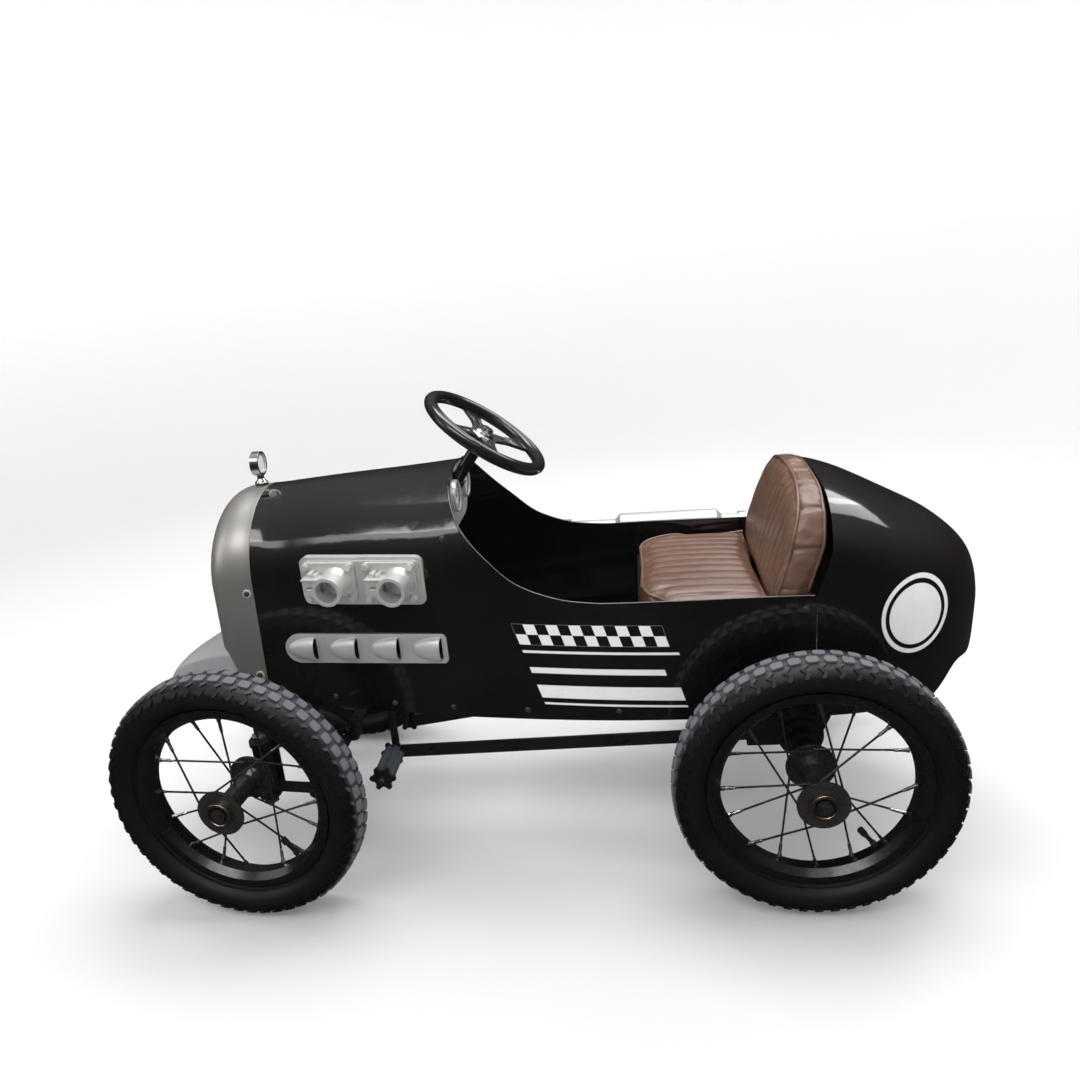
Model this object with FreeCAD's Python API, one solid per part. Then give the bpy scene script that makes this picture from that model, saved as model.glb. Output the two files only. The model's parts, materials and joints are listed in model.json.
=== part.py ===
import FreeCAD, Part
import math
import os

# Pedal car: steel body on a tube frame, spoked wheels, knuckle steering and treadle drive.
# Millimetres.  +X points at the nose, +Y at the car's left, +Z up, ground at z = 0.
# The origin is on the ground under the middle of the car.

# ---------------------------------------------------------------- driving dimensions
TYRE_RADIUS = 152.5
TYRE_HALF_WIDTH = 27.0
BEAD_RADIUS = 112.0
RIM_WELL_RADIUS = 101.0
RIM_HALF_WIDTH = 14.0
SPOKE_COUNT = 16
SPOKE_RADIUS = 1.15
HUB_FLANGE_RADIUS = 27.2
HUB_FLANGE_OFFSET = 34.7
HUB_SPOKE_RADIUS = 23.5
HALF_TRACK = 195.0
REAR_AXLE_X = -295.0
KINGPIN_X = 338.0
KINGPIN_Y = 130.0
REST_STEER_DEG = -6.5
AXLE_RADIUS = 6.0
RUNNING = 0.06

SKIN = 1.5
BODY_REAR_X = -303.0
BODY_FRONT_X = 325.0
RIM_Z = 344.0
BODY_BOTTOM_Z = 201.0

RAIL_Y = 85.0
RAIL_SIZE = 20.0
RAIL_BOTTOM_Z = 206.0
RAIL_TOP_Z = RAIL_BOTTOM_Z + RAIL_SIZE
RAIL_REAR_X = -330.0
RAIL_FRONT_X = 352.0

STEERING_WHEEL_CENTRE = (52.0, 0.0, 509.0)
STEERING_WHEEL_RADIUS = 73.0
STEERING_RIM_RADIUS = 7.5
COLUMN_TILT_DEG = 36.5
COLUMN_RADIUS = 7.5
PITMAN_RADIUS = 54.0
PITMAN_STATION = 426.0
STEERING_ARM = 62.0
TIE_ROD_Z = 113.0
TIE_ROD_THICKNESS = 4.0
STEERING_RATIO = 0.865
REST_WHEEL_TURN_DEG = REST_STEER_DEG / STEERING_RATIO

PEDAL_X = 207.0
PEDAL_Z = 106.0
PEDAL_PIVOT_Z = 330.0
PEDAL_ROD_RADIUS = 5.0
PEDAL_ROD_Y = 28.0
PEDAL_INNER_Y = 40.0
PEDAL_OUTER_Y = 100.0
CRANK_THROW = 30.0
STRAP_Y = 35.5
STRAP_THICKNESS = 3.0
STRAP_DEPTH = 17.0

# Body stations: x, half width at the bottom, half width at the shoulder,
# bottom z, shoulder z, crown z and the squareness of the arch above the shoulder.
BODY_STATIONS = [
    (-303.0, 136.0, 138.0, 201.0, 344.0, 447.0, 3.2),
    (-200.0, 137.0, 138.0, 201.0, 344.0, 456.0, 3.0),
    (-90.0, 136.0, 138.0, 201.0, 346.0, 466.0, 2.8),
    (0.0, 129.0, 133.0, 201.0, 356.0, 472.0, 2.6),
    (60.0, 122.0, 127.0, 201.0, 366.0, 475.5, 2.4),
    (105.0, 117.5, 121.0, 202.0, 369.0, 474.0, 2.2),
    (170.0, 114.0, 113.0, 207.0, 368.0, 470.0, 2.1),
    (245.0, 111.0, 105.0, 215.0, 366.5, 466.0, 2.0),
    (325.0, 107.0, 98.0, 224.0, 365.0, 460.0, 2.0),
]

# Tail stations, in the same order, shrinking to a blunt rounded end.
TAIL_STATIONS = [
    (-303.0, 136.0, 138.0, 201.0, 344.0, 447.0, 3.2),
    (-340.0, 134.0, 136.5, 201.0, 338.0, 440.0, 3.0),
    (-380.0, 127.0, 131.0, 201.0, 328.0, 423.5, 2.8),
    (-420.0, 113.0, 118.5, 201.0, 316.0, 404.0, 2.5),
    (-452.0, 93.0, 99.5, 203.0, 306.0, 387.0, 2.3),
    (-476.0, 70.0, 77.0, 209.0, 298.0, 368.0, 2.1),
    (-492.0, 47.0, 53.0, 222.0, 292.0, 349.0, 2.0),
    (-501.0, 24.0, 28.0, 243.0, 288.0, 327.0, 2.0),
    (-505.0, 5.0, 6.0, 276.0, 288.0, 301.0, 2.0),
]

# Radiator shell stations, rounding over at the front.
RADIATOR_STATIONS = [
    (325.0, 107.5, 98.5, 223.0, 365.0, 460.5, 2.0),
    (349.0, 106.0, 98.5, 223.0, 364.0, 459.0, 2.0),
    (364.0, 103.0, 96.5, 223.0, 362.0, 454.0, 2.0),
    (374.0, 97.0, 91.5, 223.0, 359.0, 445.5, 2.0),
    (380.5, 89.0, 84.0, 223.0, 356.0, 434.0, 2.0),
    (384.0, 79.0, 74.0, 223.0, 352.0, 420.0, 2.0),
]

# Nose apron stations.
APRON_STATIONS = [
    (358.0, 88.5, 89.0, 224.0, 277.0, 300.0, 2.0),
    (381.0, 82.5, 83.0, 215.0, 271.0, 287.0, 2.0),
    (405.0, 66.0, 67.0, 208.0, 262.0, 276.0, 2.0),
    (430.0, 49.5, 50.5, 203.0, 252.0, 263.0, 2.0),
    (455.0, 37.5, 38.5, 200.0, 241.5, 249.5, 2.0),
    (480.0, 26.0, 27.5, 198.0, 227.5, 233.5, 2.0),
    (497.0, 15.0, 17.0, 197.0, 211.0, 216.5, 2.0),
    (505.0, 5.0, 6.0, 196.0, 201.0, 205.0, 2.0),
]

EAST = FreeCAD.Vector(1, 0, 0)
LEFT = FreeCAD.Vector(0, 1, 0)
UP = FreeCAD.Vector(0, 0, 1)


# ---------------------------------------------------------------- helpers
def vec(x, y, z):
    return FreeCAD.Vector(x, y, z)


def cyl(base, axis, radius, length):
    return Part.makeCylinder(radius, length, vec(*base), axis)


def tube(base, axis, outer, inner, length):
    return cyl(base, axis, outer, length).cut(cyl(base, axis, inner, length))


def box(x0, x1, y0, y1, z0, z1):
    return Part.makeBox(x1 - x0, y1 - y0, z1 - z0, vec(x0, y0, z0))


def prism_xz(points, y0, y1):
    corners = [vec(x, y0, z) for x, z in points]
    face = Part.Face(Part.makePolygon(corners + corners[:1]))
    return face.extrude(vec(0, y1 - y0, 0))


def prism_xy(points, z0, z1):
    corners = [vec(x, y, z0) for x, y in points]
    face = Part.Face(Part.makePolygon(corners + corners[:1]))
    return face.extrude(vec(0, 0, z1 - z0))


def ring_xz(points):
    """Turn a closed (y, r) outline about the Y axis."""
    corners = [vec(r, y, 0) for y, r in points]
    face = Part.Face(Part.makePolygon(corners + corners[:1]))
    return face.revolve(vec(0, 0, 0), LEFT, 360)


def rounded_slab(x0, x1, z0, z1, radius, y0, y1):
    slab = box(x0, x1, y0, y1, z0, z1)
    edges = [e for e in slab.Edges if abs(e.Length - abs(y1 - y0)) < 1e-6 and is_along(e, LEFT)]
    return slab.makeFillet(radius, edges)


def is_along(edge, direction):
    span = edge.Vertexes[-1].Point.sub(edge.Vertexes[0].Point)
    return abs(abs(span.dot(direction)) - span.Length) < 1e-6


def hexagon(base, axis, across_flats, height):
    corner = across_flats / math.sqrt(3.0)
    points = [vec(corner * math.cos(math.radians(60 * k)), corner * math.sin(math.radians(60 * k)), 0)
              for k in range(7)]
    solid = Part.Face(Part.makePolygon(points)).extrude(vec(0, 0, height))
    solid.Placement = FreeCAD.Placement(vec(*base), FreeCAD.Rotation(UP, axis))
    return solid


def domed_screw(base, axis, radius, height):
    """A low round head with its shank, the head standing out along the axis from the base."""
    ball = (radius * radius + height * height) / (2.0 * height)
    point = vec(*base)
    centre = point.add(FreeCAD.Vector(axis).multiply(height - ball))
    head = Part.makeSphere(ball, centre)
    return head.common(Part.makeCylinder(radius, height, point, axis))


def mirrored(shape):
    return shape.mirror(vec(0, 0, 0), LEFT)


def moved(shape, x, y, z):
    copy = shape.copy()
    copy.translate(vec(x, y, z))
    return copy


def turned(shape, point, axis, degrees):
    copy = shape.copy()
    copy.rotate(vec(*point), axis, degrees)
    return copy


def save(name, *shapes):
    solids = []
    for shape in shapes:
        solids.extend(shape.Solids)
    for solid in solids:
        if not solid.isValid() or solid.Volume <= 0:
            print("check", name, solid.isValid(), solid.Volume)
    result = solids[0] if len(solids) == 1 else Part.makeCompound(solids)
    result.exportStep("parts/" + name + ".step")


# ---------------------------------------------------------------- arched shells
def arch_points(half_width, z_low, z_high, power, count=17):
    points = []
    for k in range(count):
        angle = math.pi * k / (count - 1)
        c, s = math.cos(angle), math.sin(angle)
        y = half_width * math.copysign(abs(c) ** (2.0 / power), c)
        z = z_low + (z_high - z_low) * abs(s) ** (2.0 / power)
        points.append((y, z))
    return points


def arch_wire(station, inset=0.0, drop=0.0):
    x, bottom_w, shoulder_w, z_bottom, z_shoulder, z_crown, power = station
    bottom_w = bottom_w - inset
    shoulder_w = shoulder_w - inset
    z_bottom = z_bottom - drop
    arch = [vec(x, y, z) for y, z in arch_points(shoulder_w, z_shoulder, z_crown - inset, power)]
    curve = Part.BSplineCurve()
    curve.interpolate(arch)
    low_left = vec(x, bottom_w, z_bottom)
    low_right = vec(x, -bottom_w, z_bottom)
    return Part.Wire([
        Part.makeLine(low_left, arch[0]),
        curve.toShape(),
        Part.makeLine(arch[-1], low_right),
        Part.makeLine(low_right, low_left),
    ])


def arch_loft(stations, inset=0.0, drop=0.0):
    return Part.makeLoft([arch_wire(s, inset, drop) for s in stations], True, False)


def body_outer():
    return arch_loft(BODY_STATIONS)


def arch_shell(stations, skin, drop=40.0):
    return arch_loft(stations).cut(arch_loft(stations, skin, drop))


# ---------------------------------------------------------------- body panels
COWL_X = 93.0


def cockpit_cutter():
    """Everything above the cockpit rim, which sweeps up from the sides to the cowl arch."""
    rise = [(-75.0, RIM_Z), (-30.0, 350.0), (15.0, 368.0), (47.0, 397.0), (70.0, 423.0),
            (84.0, 447.0), (92.0, 470.0), (COWL_X, 500.0)]
    curve = Part.BSplineCurve()
    curve.interpolate([vec(x, -200, z) for x, z in rise])
    start = vec(-75.0, -200, RIM_Z)
    rear_low = vec(-340.0, -200, RIM_Z)
    rear_high = vec(-340.0, -200, 560.0)
    front_high = vec(COWL_X, -200, 560.0)
    wire = Part.Wire([
        Part.makeLine(rear_low, start),
        curve.toShape(),
        Part.makeLine(vec(COWL_X, -200, 500.0), front_high),
        Part.makeLine(front_high, rear_high),
        Part.makeLine(rear_high, rear_low),
    ])
    return Part.Face(wire).extrude(vec(0, 400, 0))


def screw_points():
    """Panel screws: (x, z) on each side along the lower edge, at the cowl and at the tail seam."""
    lower = [(243.0, 228.0), (172.0, 219.0), (102.0, 214.0), (14.0, 213.0), (-90.0, 213.0), (-185.0, 213.0)]
    return lower + [(93.0, 418.0), (-292.0, 330.0), (-292.0, 232.0)]


def side_y(outer, x, z):
    """The body's outer y on the left at a given x and z."""
    line = Part.makeLine(vec(x, 0, z), vec(x, 200, z))
    hit = outer.common(line)
    return max(v.Point.y for v in hit.Vertexes)


def build_body():
    outer = body_outer()
    shell = arch_shell(BODY_STATIONS, SKIN).cut(cockpit_cutter())
    screws = []
    for x, z in screw_points():
        y = side_y(outer, x, z)
        screw = domed_screw((x, y - 0.4, z), LEFT, 3.6, 2.4)
        screws.append(screw.cut(outer))
        screws.append(mirrored(screws[-1]))
    save("body_shell", shell)
    return outer, screws


def build_tail():
    shell = arch_loft(TAIL_STATIONS).cut(arch_loft(TAIL_STATIONS[:-1], SKIN, 40.0))
    lean = prism_xz([(-290.0, RIM_Z - 1.0), (-303.0, RIM_Z - 1.0), (-319.0, 390.0), (-323.0, 470.0),
                     (-290.0, 470.0)], -160, 160)
    shell = shell.cut(lean)
    shell = shell.cut(box(-303.3, -290.0, -160, 160, 150, 460))
    save("tail_shell", shell)


def build_radiator():
    wall = 2.5
    outer = arch_loft(RADIATOR_STATIONS)
    inner = arch_loft([(x - 3.0, b, s, z0, z1, z2, p) for x, b, s, z0, z1, z2, p in RADIATOR_STATIONS], wall, 40.0)
    shell = outer.cut(inner).cut(inner.common(outer))
    opening = arch_loft([(x, 62.0, 62.0, 305.0, 352.0, 412.0, 2.0) for x in (364.0, 400.0)])
    slope = prism_xz([(386.5, 292.0), (371.0, 282.0), (356.0, 250.0), (347.0, 222.0), (337.0, 150.0),
                      (400.0, 150.0), (400.0, 292.0)], -150, 150)
    shell = shell.cut(opening).cut(slope)
    shell = shell.cut(box(300.0, 325.2, -150, 150, 100, 500))
    save("radiator_shell", shell)
    build_grille(opening)


def build_grille(opening):
    frame = arch_loft([(x, 66.0, 66.0, 299.0, 352.0, 416.0, 2.0) for x in (375.0, 378.0)])
    hole = arch_loft([(x, 60.0, 60.0, 306.0, 352.0, 410.0, 2.0) for x in (373.0, 380.0)])
    grille = frame.cut(hole)
    bars = []
    for k in range(-5, 6):
        bar = box(375.4, 377.6, 10.5 * k - 1.0, 10.5 * k + 1.0, 290.0, 430.0)
        bars.append(bar.common(hole))
    for z in (328.0, 350.0, 372.0, 394.0):
        bar = box(375.8, 377.2, -70.0, 70.0, z - 0.8, z + 0.8)
        bars.append(bar.common(hole))
    grille = grille.fuse(bars).removeSplitter()
    save("radiator_grille", grille)


def build_radiator_cap():
    x, z = 334.0, 459.0
    outer = arch_loft(RADIATOR_STATIONS).fuse(body_outer())
    nut = hexagon((x, 0, z), UP, 15.0, 6.0)
    collar = Part.makeCone(7.0, 4.2, 4.5, vec(x, 0, z + 6.0), UP)
    stem = cyl((x, 0, z + 9.0), UP, 4.2, 8.0)
    bezel = tube((x - 5.0, 0, z + 29.0), EAST, 14.6, 12.0, 10.0)
    disc = cyl((x - 2.0, 0, z + 29.0), EAST, 12.2, 5.0)
    cap = nut.fuse([collar, stem, bezel, disc]).cut(outer).removeSplitter()
    save("radiator_cap", cap)


def build_apron():
    outer = arch_loft(APRON_STATIONS)
    inner = arch_loft(APRON_STATIONS[:-1], 2.0, 40.0)
    save("nose_apron", outer.cut(inner))


# ---------------------------------------------------------------- dash and left-side fittings
def column_axis():
    tilt = math.radians(COLUMN_TILT_DEG)
    return vec(math.sin(tilt), 0, -math.cos(tilt))


def column_point(station):
    direction = column_axis()
    x, y, z = STEERING_WHEEL_CENTRE
    return (x + direction.x * station, 0.0, z + direction.z * station)


def station_at_z(z):
    return (STEERING_WHEEL_CENTRE[2] - z) / math.cos(math.radians(COLUMN_TILT_DEG))


def build_dash(outer):
    x = 97.0
    plate = box(x - 1.0, x + 1.0, -74.0, 74.0, 398.0, 480.0)
    corners = [e for e in plate.Edges if is_along(e, EAST) and abs(e.Length - 2.0) < 1e-6
               and e.Vertexes[0].Point.z < 400.0]
    panel = plate.makeFillet(30.0, corners)
    room = arch_loft(BODY_STATIONS, SKIN + 0.2, 40.0)
    panel = panel.common(room)
    bush_cutter = cyl(column_point(station_at_z(448.0) - 30.0), column_axis(), 10.5, 60.0)
    panel = panel.cut(bush_cutter)
    cups, faces = [], []
    for side in (-1.0, 1.0):
        y, z, r = 31.0 * side, 443.0, 18.5
        cup = tube((x - 9.0, y, z), EAST, r, r - 2.5, 8.0)
        cups.append(cup)
        faces.append(cyl((x - 5.0, y, z), EAST, r - 2.5, 4.0))
    save("dash_panel", panel)
    save("gauge_bezels", *cups)
    save("gauge_faces", *faces)


def side_frame(outer, x_mid, z_mid, x_span):
    """Skew angle and y of the left side round a point, for flat fittings laid on it."""
    y_front = side_y(outer, x_mid + x_span, z_mid)
    y_rear = side_y(outer, x_mid - x_span, z_mid)
    return math.degrees(math.atan2(y_front - y_rear, 2.0 * x_span)), 0.5 * (y_front + y_rear)


def laid_on_side(shape, x_mid, y, skew):
    """Move a fitting built with its back at y = 0 and its middle at x = 0 on to the side."""
    return moved(turned(shape, (0, 0, 0), UP, skew), x_mid, y, 0)


def build_intakes(outer):
    x_mid, z_mid = 189.0, 373.5
    skew, y = side_frame(outer, x_mid, 358.0, 60.0)
    plate = rounded_slab(-73.0, 73.0, z_mid - 28.5, z_mid + 28.5, 9.0, -14.0, 2.0)
    raised = rounded_slab(-69.5, 69.5, z_mid - 24.5, z_mid + 24.5, 7.0, 2.0, 3.5)
    plate = plate.fuse(raised)
    castings, bolts = [], []
    for bolt_mid, bore_mid in ((37.0, 28.0), (-35.0, -46.0)):
        castings.append(intake_casting(bolt_mid, bore_mid, z_mid))
        for dx in (-26.0, 26.0):
            for dz in (-19.0, 19.0):
                bolts.append(intake_bolt(bolt_mid + dx, z_mid + dz))
    plate = laid_on_side(plate, x_mid, y, skew).cut(outer)
    castings = [laid_on_side(c, x_mid, y, skew).cut(outer) for c in castings]
    bolts = [laid_on_side(b, x_mid, y, skew) for b in bolts]
    save("intake_backplate", plate)
    save("intake_castings", *castings)
    save("intake_bolts", *bolts)


def intake_casting(bolt_mid, bore_mid, z_mid):
    flange = rounded_slab(bolt_mid - 31.0, bolt_mid + 31.0, z_mid - 23.5, z_mid + 23.5, 5.0, 3.5, 7.5)
    barrel = cyl((bore_mid, 7.5, z_mid), LEFT, 15.3, 29.0)
    root = Part.makeCone(19.0, 15.3, 8.0, vec(bore_mid, 7.5, z_mid), LEFT)
    end_lip = cyl((bore_mid, 32.0, z_mid), LEFT, 16.8, 5.0)
    lug = rounded_slab(bore_mid, bore_mid + 33.0, z_mid - 10.0, z_mid + 8.5, 2.0, 7.5, 25.0)
    lip = box(bore_mid + 6.0, bore_mid + 34.0, 7.5, 26.0, z_mid + 8.5, z_mid + 10.5)
    rib = box(bore_mid + 18.0, bore_mid + 22.0, 7.5, 20.0, z_mid + 10.5, z_mid + 14.0)
    boss = cyl((bore_mid + 27.0, 7.5, z_mid + 12.0), LEFT, 3.6, 12.0)
    solid = flange.fuse([barrel, root, end_lip, lug, lip, rib, boss])
    bore = cyl((bore_mid, 12.0, z_mid), LEFT, 12.6, 40.0)
    side_bore = cyl((bore_mid, 19.0, z_mid), EAST, 6.0, 28.0)
    solid = solid.cut(bore).cut(side_bore)
    for dx in (-26.0, 26.0):
        for dz in (-19.0, 19.0):
            solid = solid.cut(cyl((bolt_mid + dx, 0.0, z_mid + dz), LEFT, 2.2, 60.0))
            solid = solid.cut(cyl((bolt_mid + dx, 7.5, z_mid + dz), LEFT, 4.9, 60.0))
    return solid.removeSplitter()


def intake_bolt(x, z):
    head = hexagon((x, 8.3, z), LEFT, 7.0, 3.6)
    washer = cyl((x, 7.5, z), LEFT, 4.6, 0.8)
    shank = cyl((x, 3.7, z), LEFT, 2.1, 3.8)
    return washer.fuse([head, shank]).removeSplitter()


def build_louvres(outer):
    x_mid, z_mid = 197.5, 290.0
    skew, y = side_frame(outer, x_mid, z_mid, 80.0)
    half_length, half_height = 98.0, 18.0
    plate = rounded_slab(-half_length, half_length - half_height, z_mid - half_height, z_mid + half_height,
                         6.0, -14.0, 2.5)
    nose = cyl((half_length - half_height, -14.0, z_mid), LEFT, half_height, 16.5)
    core = box(0.0, half_length - half_height, -14.0, 2.5, z_mid - half_height, z_mid + half_height)
    plate = plate.fuse([nose, core]).removeSplitter()
    mouths = [-91.0 + 50.3 * k for k in range(4)]
    for mouth in mouths:
        plate = plate.fuse(scoop(mouth, z_mid, 34.0, 10.5, 14.6))
    for mouth in mouths:
        plate = plate.cut(scoop(mouth - 1.0, z_mid, 31.0, 9.0, 13.2, back=-0.6))
        plate = plate.cut(box(mouth - 1.0, mouth + 12.0, -20.0, 2.5, z_mid - 11.5, z_mid + 11.5))
    save("louvre_panel", laid_on_side(plate.removeSplitter(), x_mid, y, skew).cut(outer))


def scoop(mouth_x, z, length, height, half_width, back=2.4):
    """A quarter of an egg lying on the plate, open toward the rear; its poles are fore and aft."""
    scale = FreeCAD.Matrix()
    scale.scale(length, height, half_width)
    ball = turned(Part.makeSphere(1.0, vec(0, 0, 0), EAST), (0, 0, 0), EAST, 90.0)
    egg = moved(ball.transformGeometry(scale), mouth_x, 2.0, z)
    return egg.common(box(mouth_x, mouth_x + length + 1.0, back, 60.0, z - 40.0, z + 40.0))


# ---------------------------------------------------------------- exhaust on the right side
EXHAUST_Y = -172.0
EXHAUST_Z = 327.0


def build_exhaust(outer):
    r, bend = 11.5, 34.0
    x_turn = 118.0
    y_body = -side_y(outer, x_turn, EXHAUST_Z) + 0.5
    start = vec(x_turn, y_body, EXHAUST_Z)
    corner = vec(x_turn, EXHAUST_Y + bend, EXHAUST_Z)
    middle = vec(x_turn - bend + bend * math.cos(math.radians(45)),
                 EXHAUST_Y + bend - bend * math.sin(math.radians(45)), EXHAUST_Z)
    out = vec(x_turn - bend, EXHAUST_Y, EXHAUST_Z)
    end = vec(-88.0, EXHAUST_Y, EXHAUST_Z)
    path = Part.Wire([Part.makeLine(start, corner), Part.Arc(corner, middle, out).toShape(),
                      Part.makeLine(out, end)])
    outer_pipe = swept_tube(path, start, corner.sub(start), r)
    inner_pipe = swept_tube(path, start, corner.sub(start), r - 1.5)
    pipe = outer_pipe.cut(inner_pipe)
    flange = tube((x_turn, y_body, EXHAUST_Z), vec(0, -1, 0), 19.0, r - 1.5, 4.0)
    pipe = pipe.fuse(flange).removeSplitter().cut(outer)
    tail_pipe = tube((-300.0, EXHAUST_Y, EXHAUST_Z), EAST, r, r - 1.5, 66.5)
    save("exhaust_pipe", pipe, tail_pipe)
    save("exhaust_muffler", muffler())
    save("exhaust_brackets", *exhaust_brackets(outer, r))


def swept_tube(path, start, direction, radius):
    circle = Part.Wire([Part.makeCircle(radius, start, direction)])
    return path.makePipeShell([circle], True, False)


def muffler():
    outline = [(-233.2, 11.8), (-226.0, 19.0), (-95.0, 19.0), (-88.3, 11.8), (-88.3, 10.0),
               (-95.5, 17.2), (-225.5, 17.2), (-233.2, 10.0)]
    corners = [vec(x, 0, r) for x, r in outline]
    face = Part.Face(Part.makePolygon(corners + corners[:1]))
    solid = face.revolve(vec(0, 0, 0), EAST, 360)
    return moved(solid, 0, EXHAUST_Y, EXHAUST_Z)


def exhaust_brackets(outer, r):
    brackets = []
    for x in (-20.0, -262.0):
        clamp = tube((x - 6.0, EXHAUST_Y, EXHAUST_Z), EAST, r + 2.5, r + 0.05, 12.0)
        arm = box(x - 6.0, x + 6.0, EXHAUST_Y + r + 1.0, -120.0, EXHAUST_Z - 1.5, EXHAUST_Z + 1.5)
        foot = box(x - 6.0, x + 6.0, -141.0, -120.0, EXHAUST_Z - 11.0, EXHAUST_Z + 11.0)
        bracket = clamp.fuse([arm, foot]).cut(outer)
        brackets.append(bracket.removeSplitter())
    return brackets


# ---------------------------------------------------------------- frame
def build_frame():
    rails = []
    for side in (-1.0, 1.0):
        y = RAIL_Y * side
        rail = box(RAIL_REAR_X, RAIL_FRONT_X, y - 10.0, y + 10.0, RAIL_BOTTOM_Z, RAIL_TOP_Z)
        rails.append(rail.cut(box(RAIL_REAR_X, RAIL_FRONT_X, y - 8.0, y + 8.0, RAIL_BOTTOM_Z + 2.0, RAIL_TOP_Z - 2.0)))
    save("chassis_rails", *rails)
    low, high = RAIL_BOTTOM_Z - 4.0, RAIL_BOTTOM_Z
    front = box(KINGPIN_X - 18.0, KINGPIN_X + 14.0, -95.0, 95.0, low, high)
    middle = box(-60.0, -30.0, -95.0, 95.0, low, high)
    rear = box(-285.0, -255.0, -95.0, 95.0, low, high)
    bearing_x = column_point(station_at_z(204.0))[0]
    steering = box(bearing_x - 22.0, bearing_x + 22.0, -95.0, 95.0, low, high)
    bush_room = cyl(column_point(station_at_z(204.0) - 40.0), column_axis(), 10.5, 80.0)
    save("chassis_crossmembers", front, middle, rear, steering.cut(bush_room))


def build_seat_box():
    top, wall = 300.0, 2.0
    outer = box(-300.0, -116.0, -94.0, 94.0, RAIL_TOP_Z, top)
    inner = box(-298.0, -118.0, -95.0, 95.0, RAIL_TOP_Z - 1.0, top - wall)
    shelf = box(-300.0, -116.0, -133.0, 133.0, top - wall, top)
    save("seat_box", outer.cut(inner).fuse(shelf).removeSplitter())


def build_front_axle():
    beam = box(KINGPIN_X - 12.0, KINGPIN_X + 12.0, -114.0, 114.0, 182.0, 202.0)
    beam = beam.cut(box(KINGPIN_X - 10.0, KINGPIN_X + 10.0, -112.0, 112.0, 181.0, 200.0))
    pieces = []
    for side in (-1.0, 1.0):
        plate = box(-13.0, 13.0, 112.0, 116.0, 104.0, 202.0)
        ears = [ear(z) for z in (178.2, 107.8)]
        fork = moved(plate.fuse(ears), KINGPIN_X, 0, 0)
        pieces.append(fork if side > 0 else mirrored(fork))
    beam = beam.fuse(pieces).removeSplitter()
    kingpins = []
    for side in (-1.0, 1.0):
        base = (KINGPIN_X, KINGPIN_Y * side, 98.0)
        beam = beam.cut(cyl(base, UP, 5.0, 110.0))
        pin = cyl(base, UP, 5.0, 86.2)
        head = hexagon((base[0], base[1], 184.2), UP, 16.0, 6.5)
        nut = hexagon((base[0], base[1], 99.5), UP, 16.0, 8.3)
        kingpins.append(pin.fuse([head, nut]).removeSplitter())
    save("front_axle_beam", beam)
    save("kingpins", *kingpins)


def ear(z):
    tab = box(-13.0, 13.0, 114.0, KINGPIN_Y, z, z + 6.0)
    return tab.fuse(cyl((0, KINGPIN_Y, z), UP, 13.0, 6.0))


# ---------------------------------------------------------------- wheels
def tyre():
    """A hollow casing, open between its beads, about the Y axis."""
    half = TYRE_HALF_WIDTH
    outer = [(-11.3, BEAD_RADIUS - 2.5), (-11.3, BEAD_RADIUS + 4.4), (-17.0, 118.8), (-23.0, 123.0),
             (-26.2, 129.0), (-half, 134.5), (-25.5, 141.0), (-21.5, 147.0), (-14.0, 150.8), (0.0, TYRE_RADIUS)]
    inner = [(-8.3, BEAD_RADIUS - 2.5), (-8.3, BEAD_RADIUS + 6.0), (-14.5, 121.5), (-20.0, 125.0),
             (-22.7, 130.0), (3.5 - half, 134.5), (-21.8, 140.0), (-18.0, 144.0), (-11.5, 147.0), (0.0, 148.2)]
    outer_full = outer + [(-y, r) for y, r in reversed(outer[:-1])]
    inner_full = inner + [(-y, r) for y, r in reversed(inner[:-1])]
    return ring_xz(outer_full + list(reversed(inner_full)))


def rim():
    half = RIM_HALF_WIDTH
    well = RIM_WELL_RADIUS
    profile = [(half, 116.0), (half, 107.0), (6.5, well), (-6.5, well), (-half, 107.0), (-half, 116.0),
               (-half + 2.2, 116.0), (-half + 2.2, 108.5), (-5.5, well + 2.5), (5.5, well + 2.5),
               (half - 2.2, 108.5), (half - 2.2, 116.0)]
    return ring_xz(profile)


def spokes():
    """Crossed spokes from both hub flanges to the rim well."""
    result = []
    for k in range(SPOKE_COUNT):
        side = 1.0 if k % 2 == 0 else -1.0
        lean = 1.0 if (k // 2) % 2 == 0 else -1.0
        at_rim = 2.0 * math.pi * k / SPOKE_COUNT
        at_hub = at_rim + lean * math.radians(62.0)
        hub_y = side * (HUB_FLANGE_OFFSET - 2.8 - 3.8 * (1.0 + lean) / 2.0)
        inner = vec(HUB_SPOKE_RADIUS * math.cos(at_hub), hub_y, HUB_SPOKE_RADIUS * math.sin(at_hub))
        reach = RIM_WELL_RADIUS - 0.6
        outer = vec(reach * math.cos(at_rim), side * 3.0, reach * math.sin(at_rim))
        run = outer.sub(inner)
        straight = Part.makeCylinder(SPOKE_RADIUS, run.Length, inner, run)
        elbow = Part.makeSphere(SPOKE_RADIUS * 1.05, inner)
        hook_length = HUB_FLANGE_OFFSET - 1.5 - abs(hub_y)
        hook = Part.makeCylinder(SPOKE_RADIUS, hook_length, inner, vec(0, side, 0))
        result.append(straight.fuse([elbow, hook]).removeSplitter())
    return result


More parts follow.
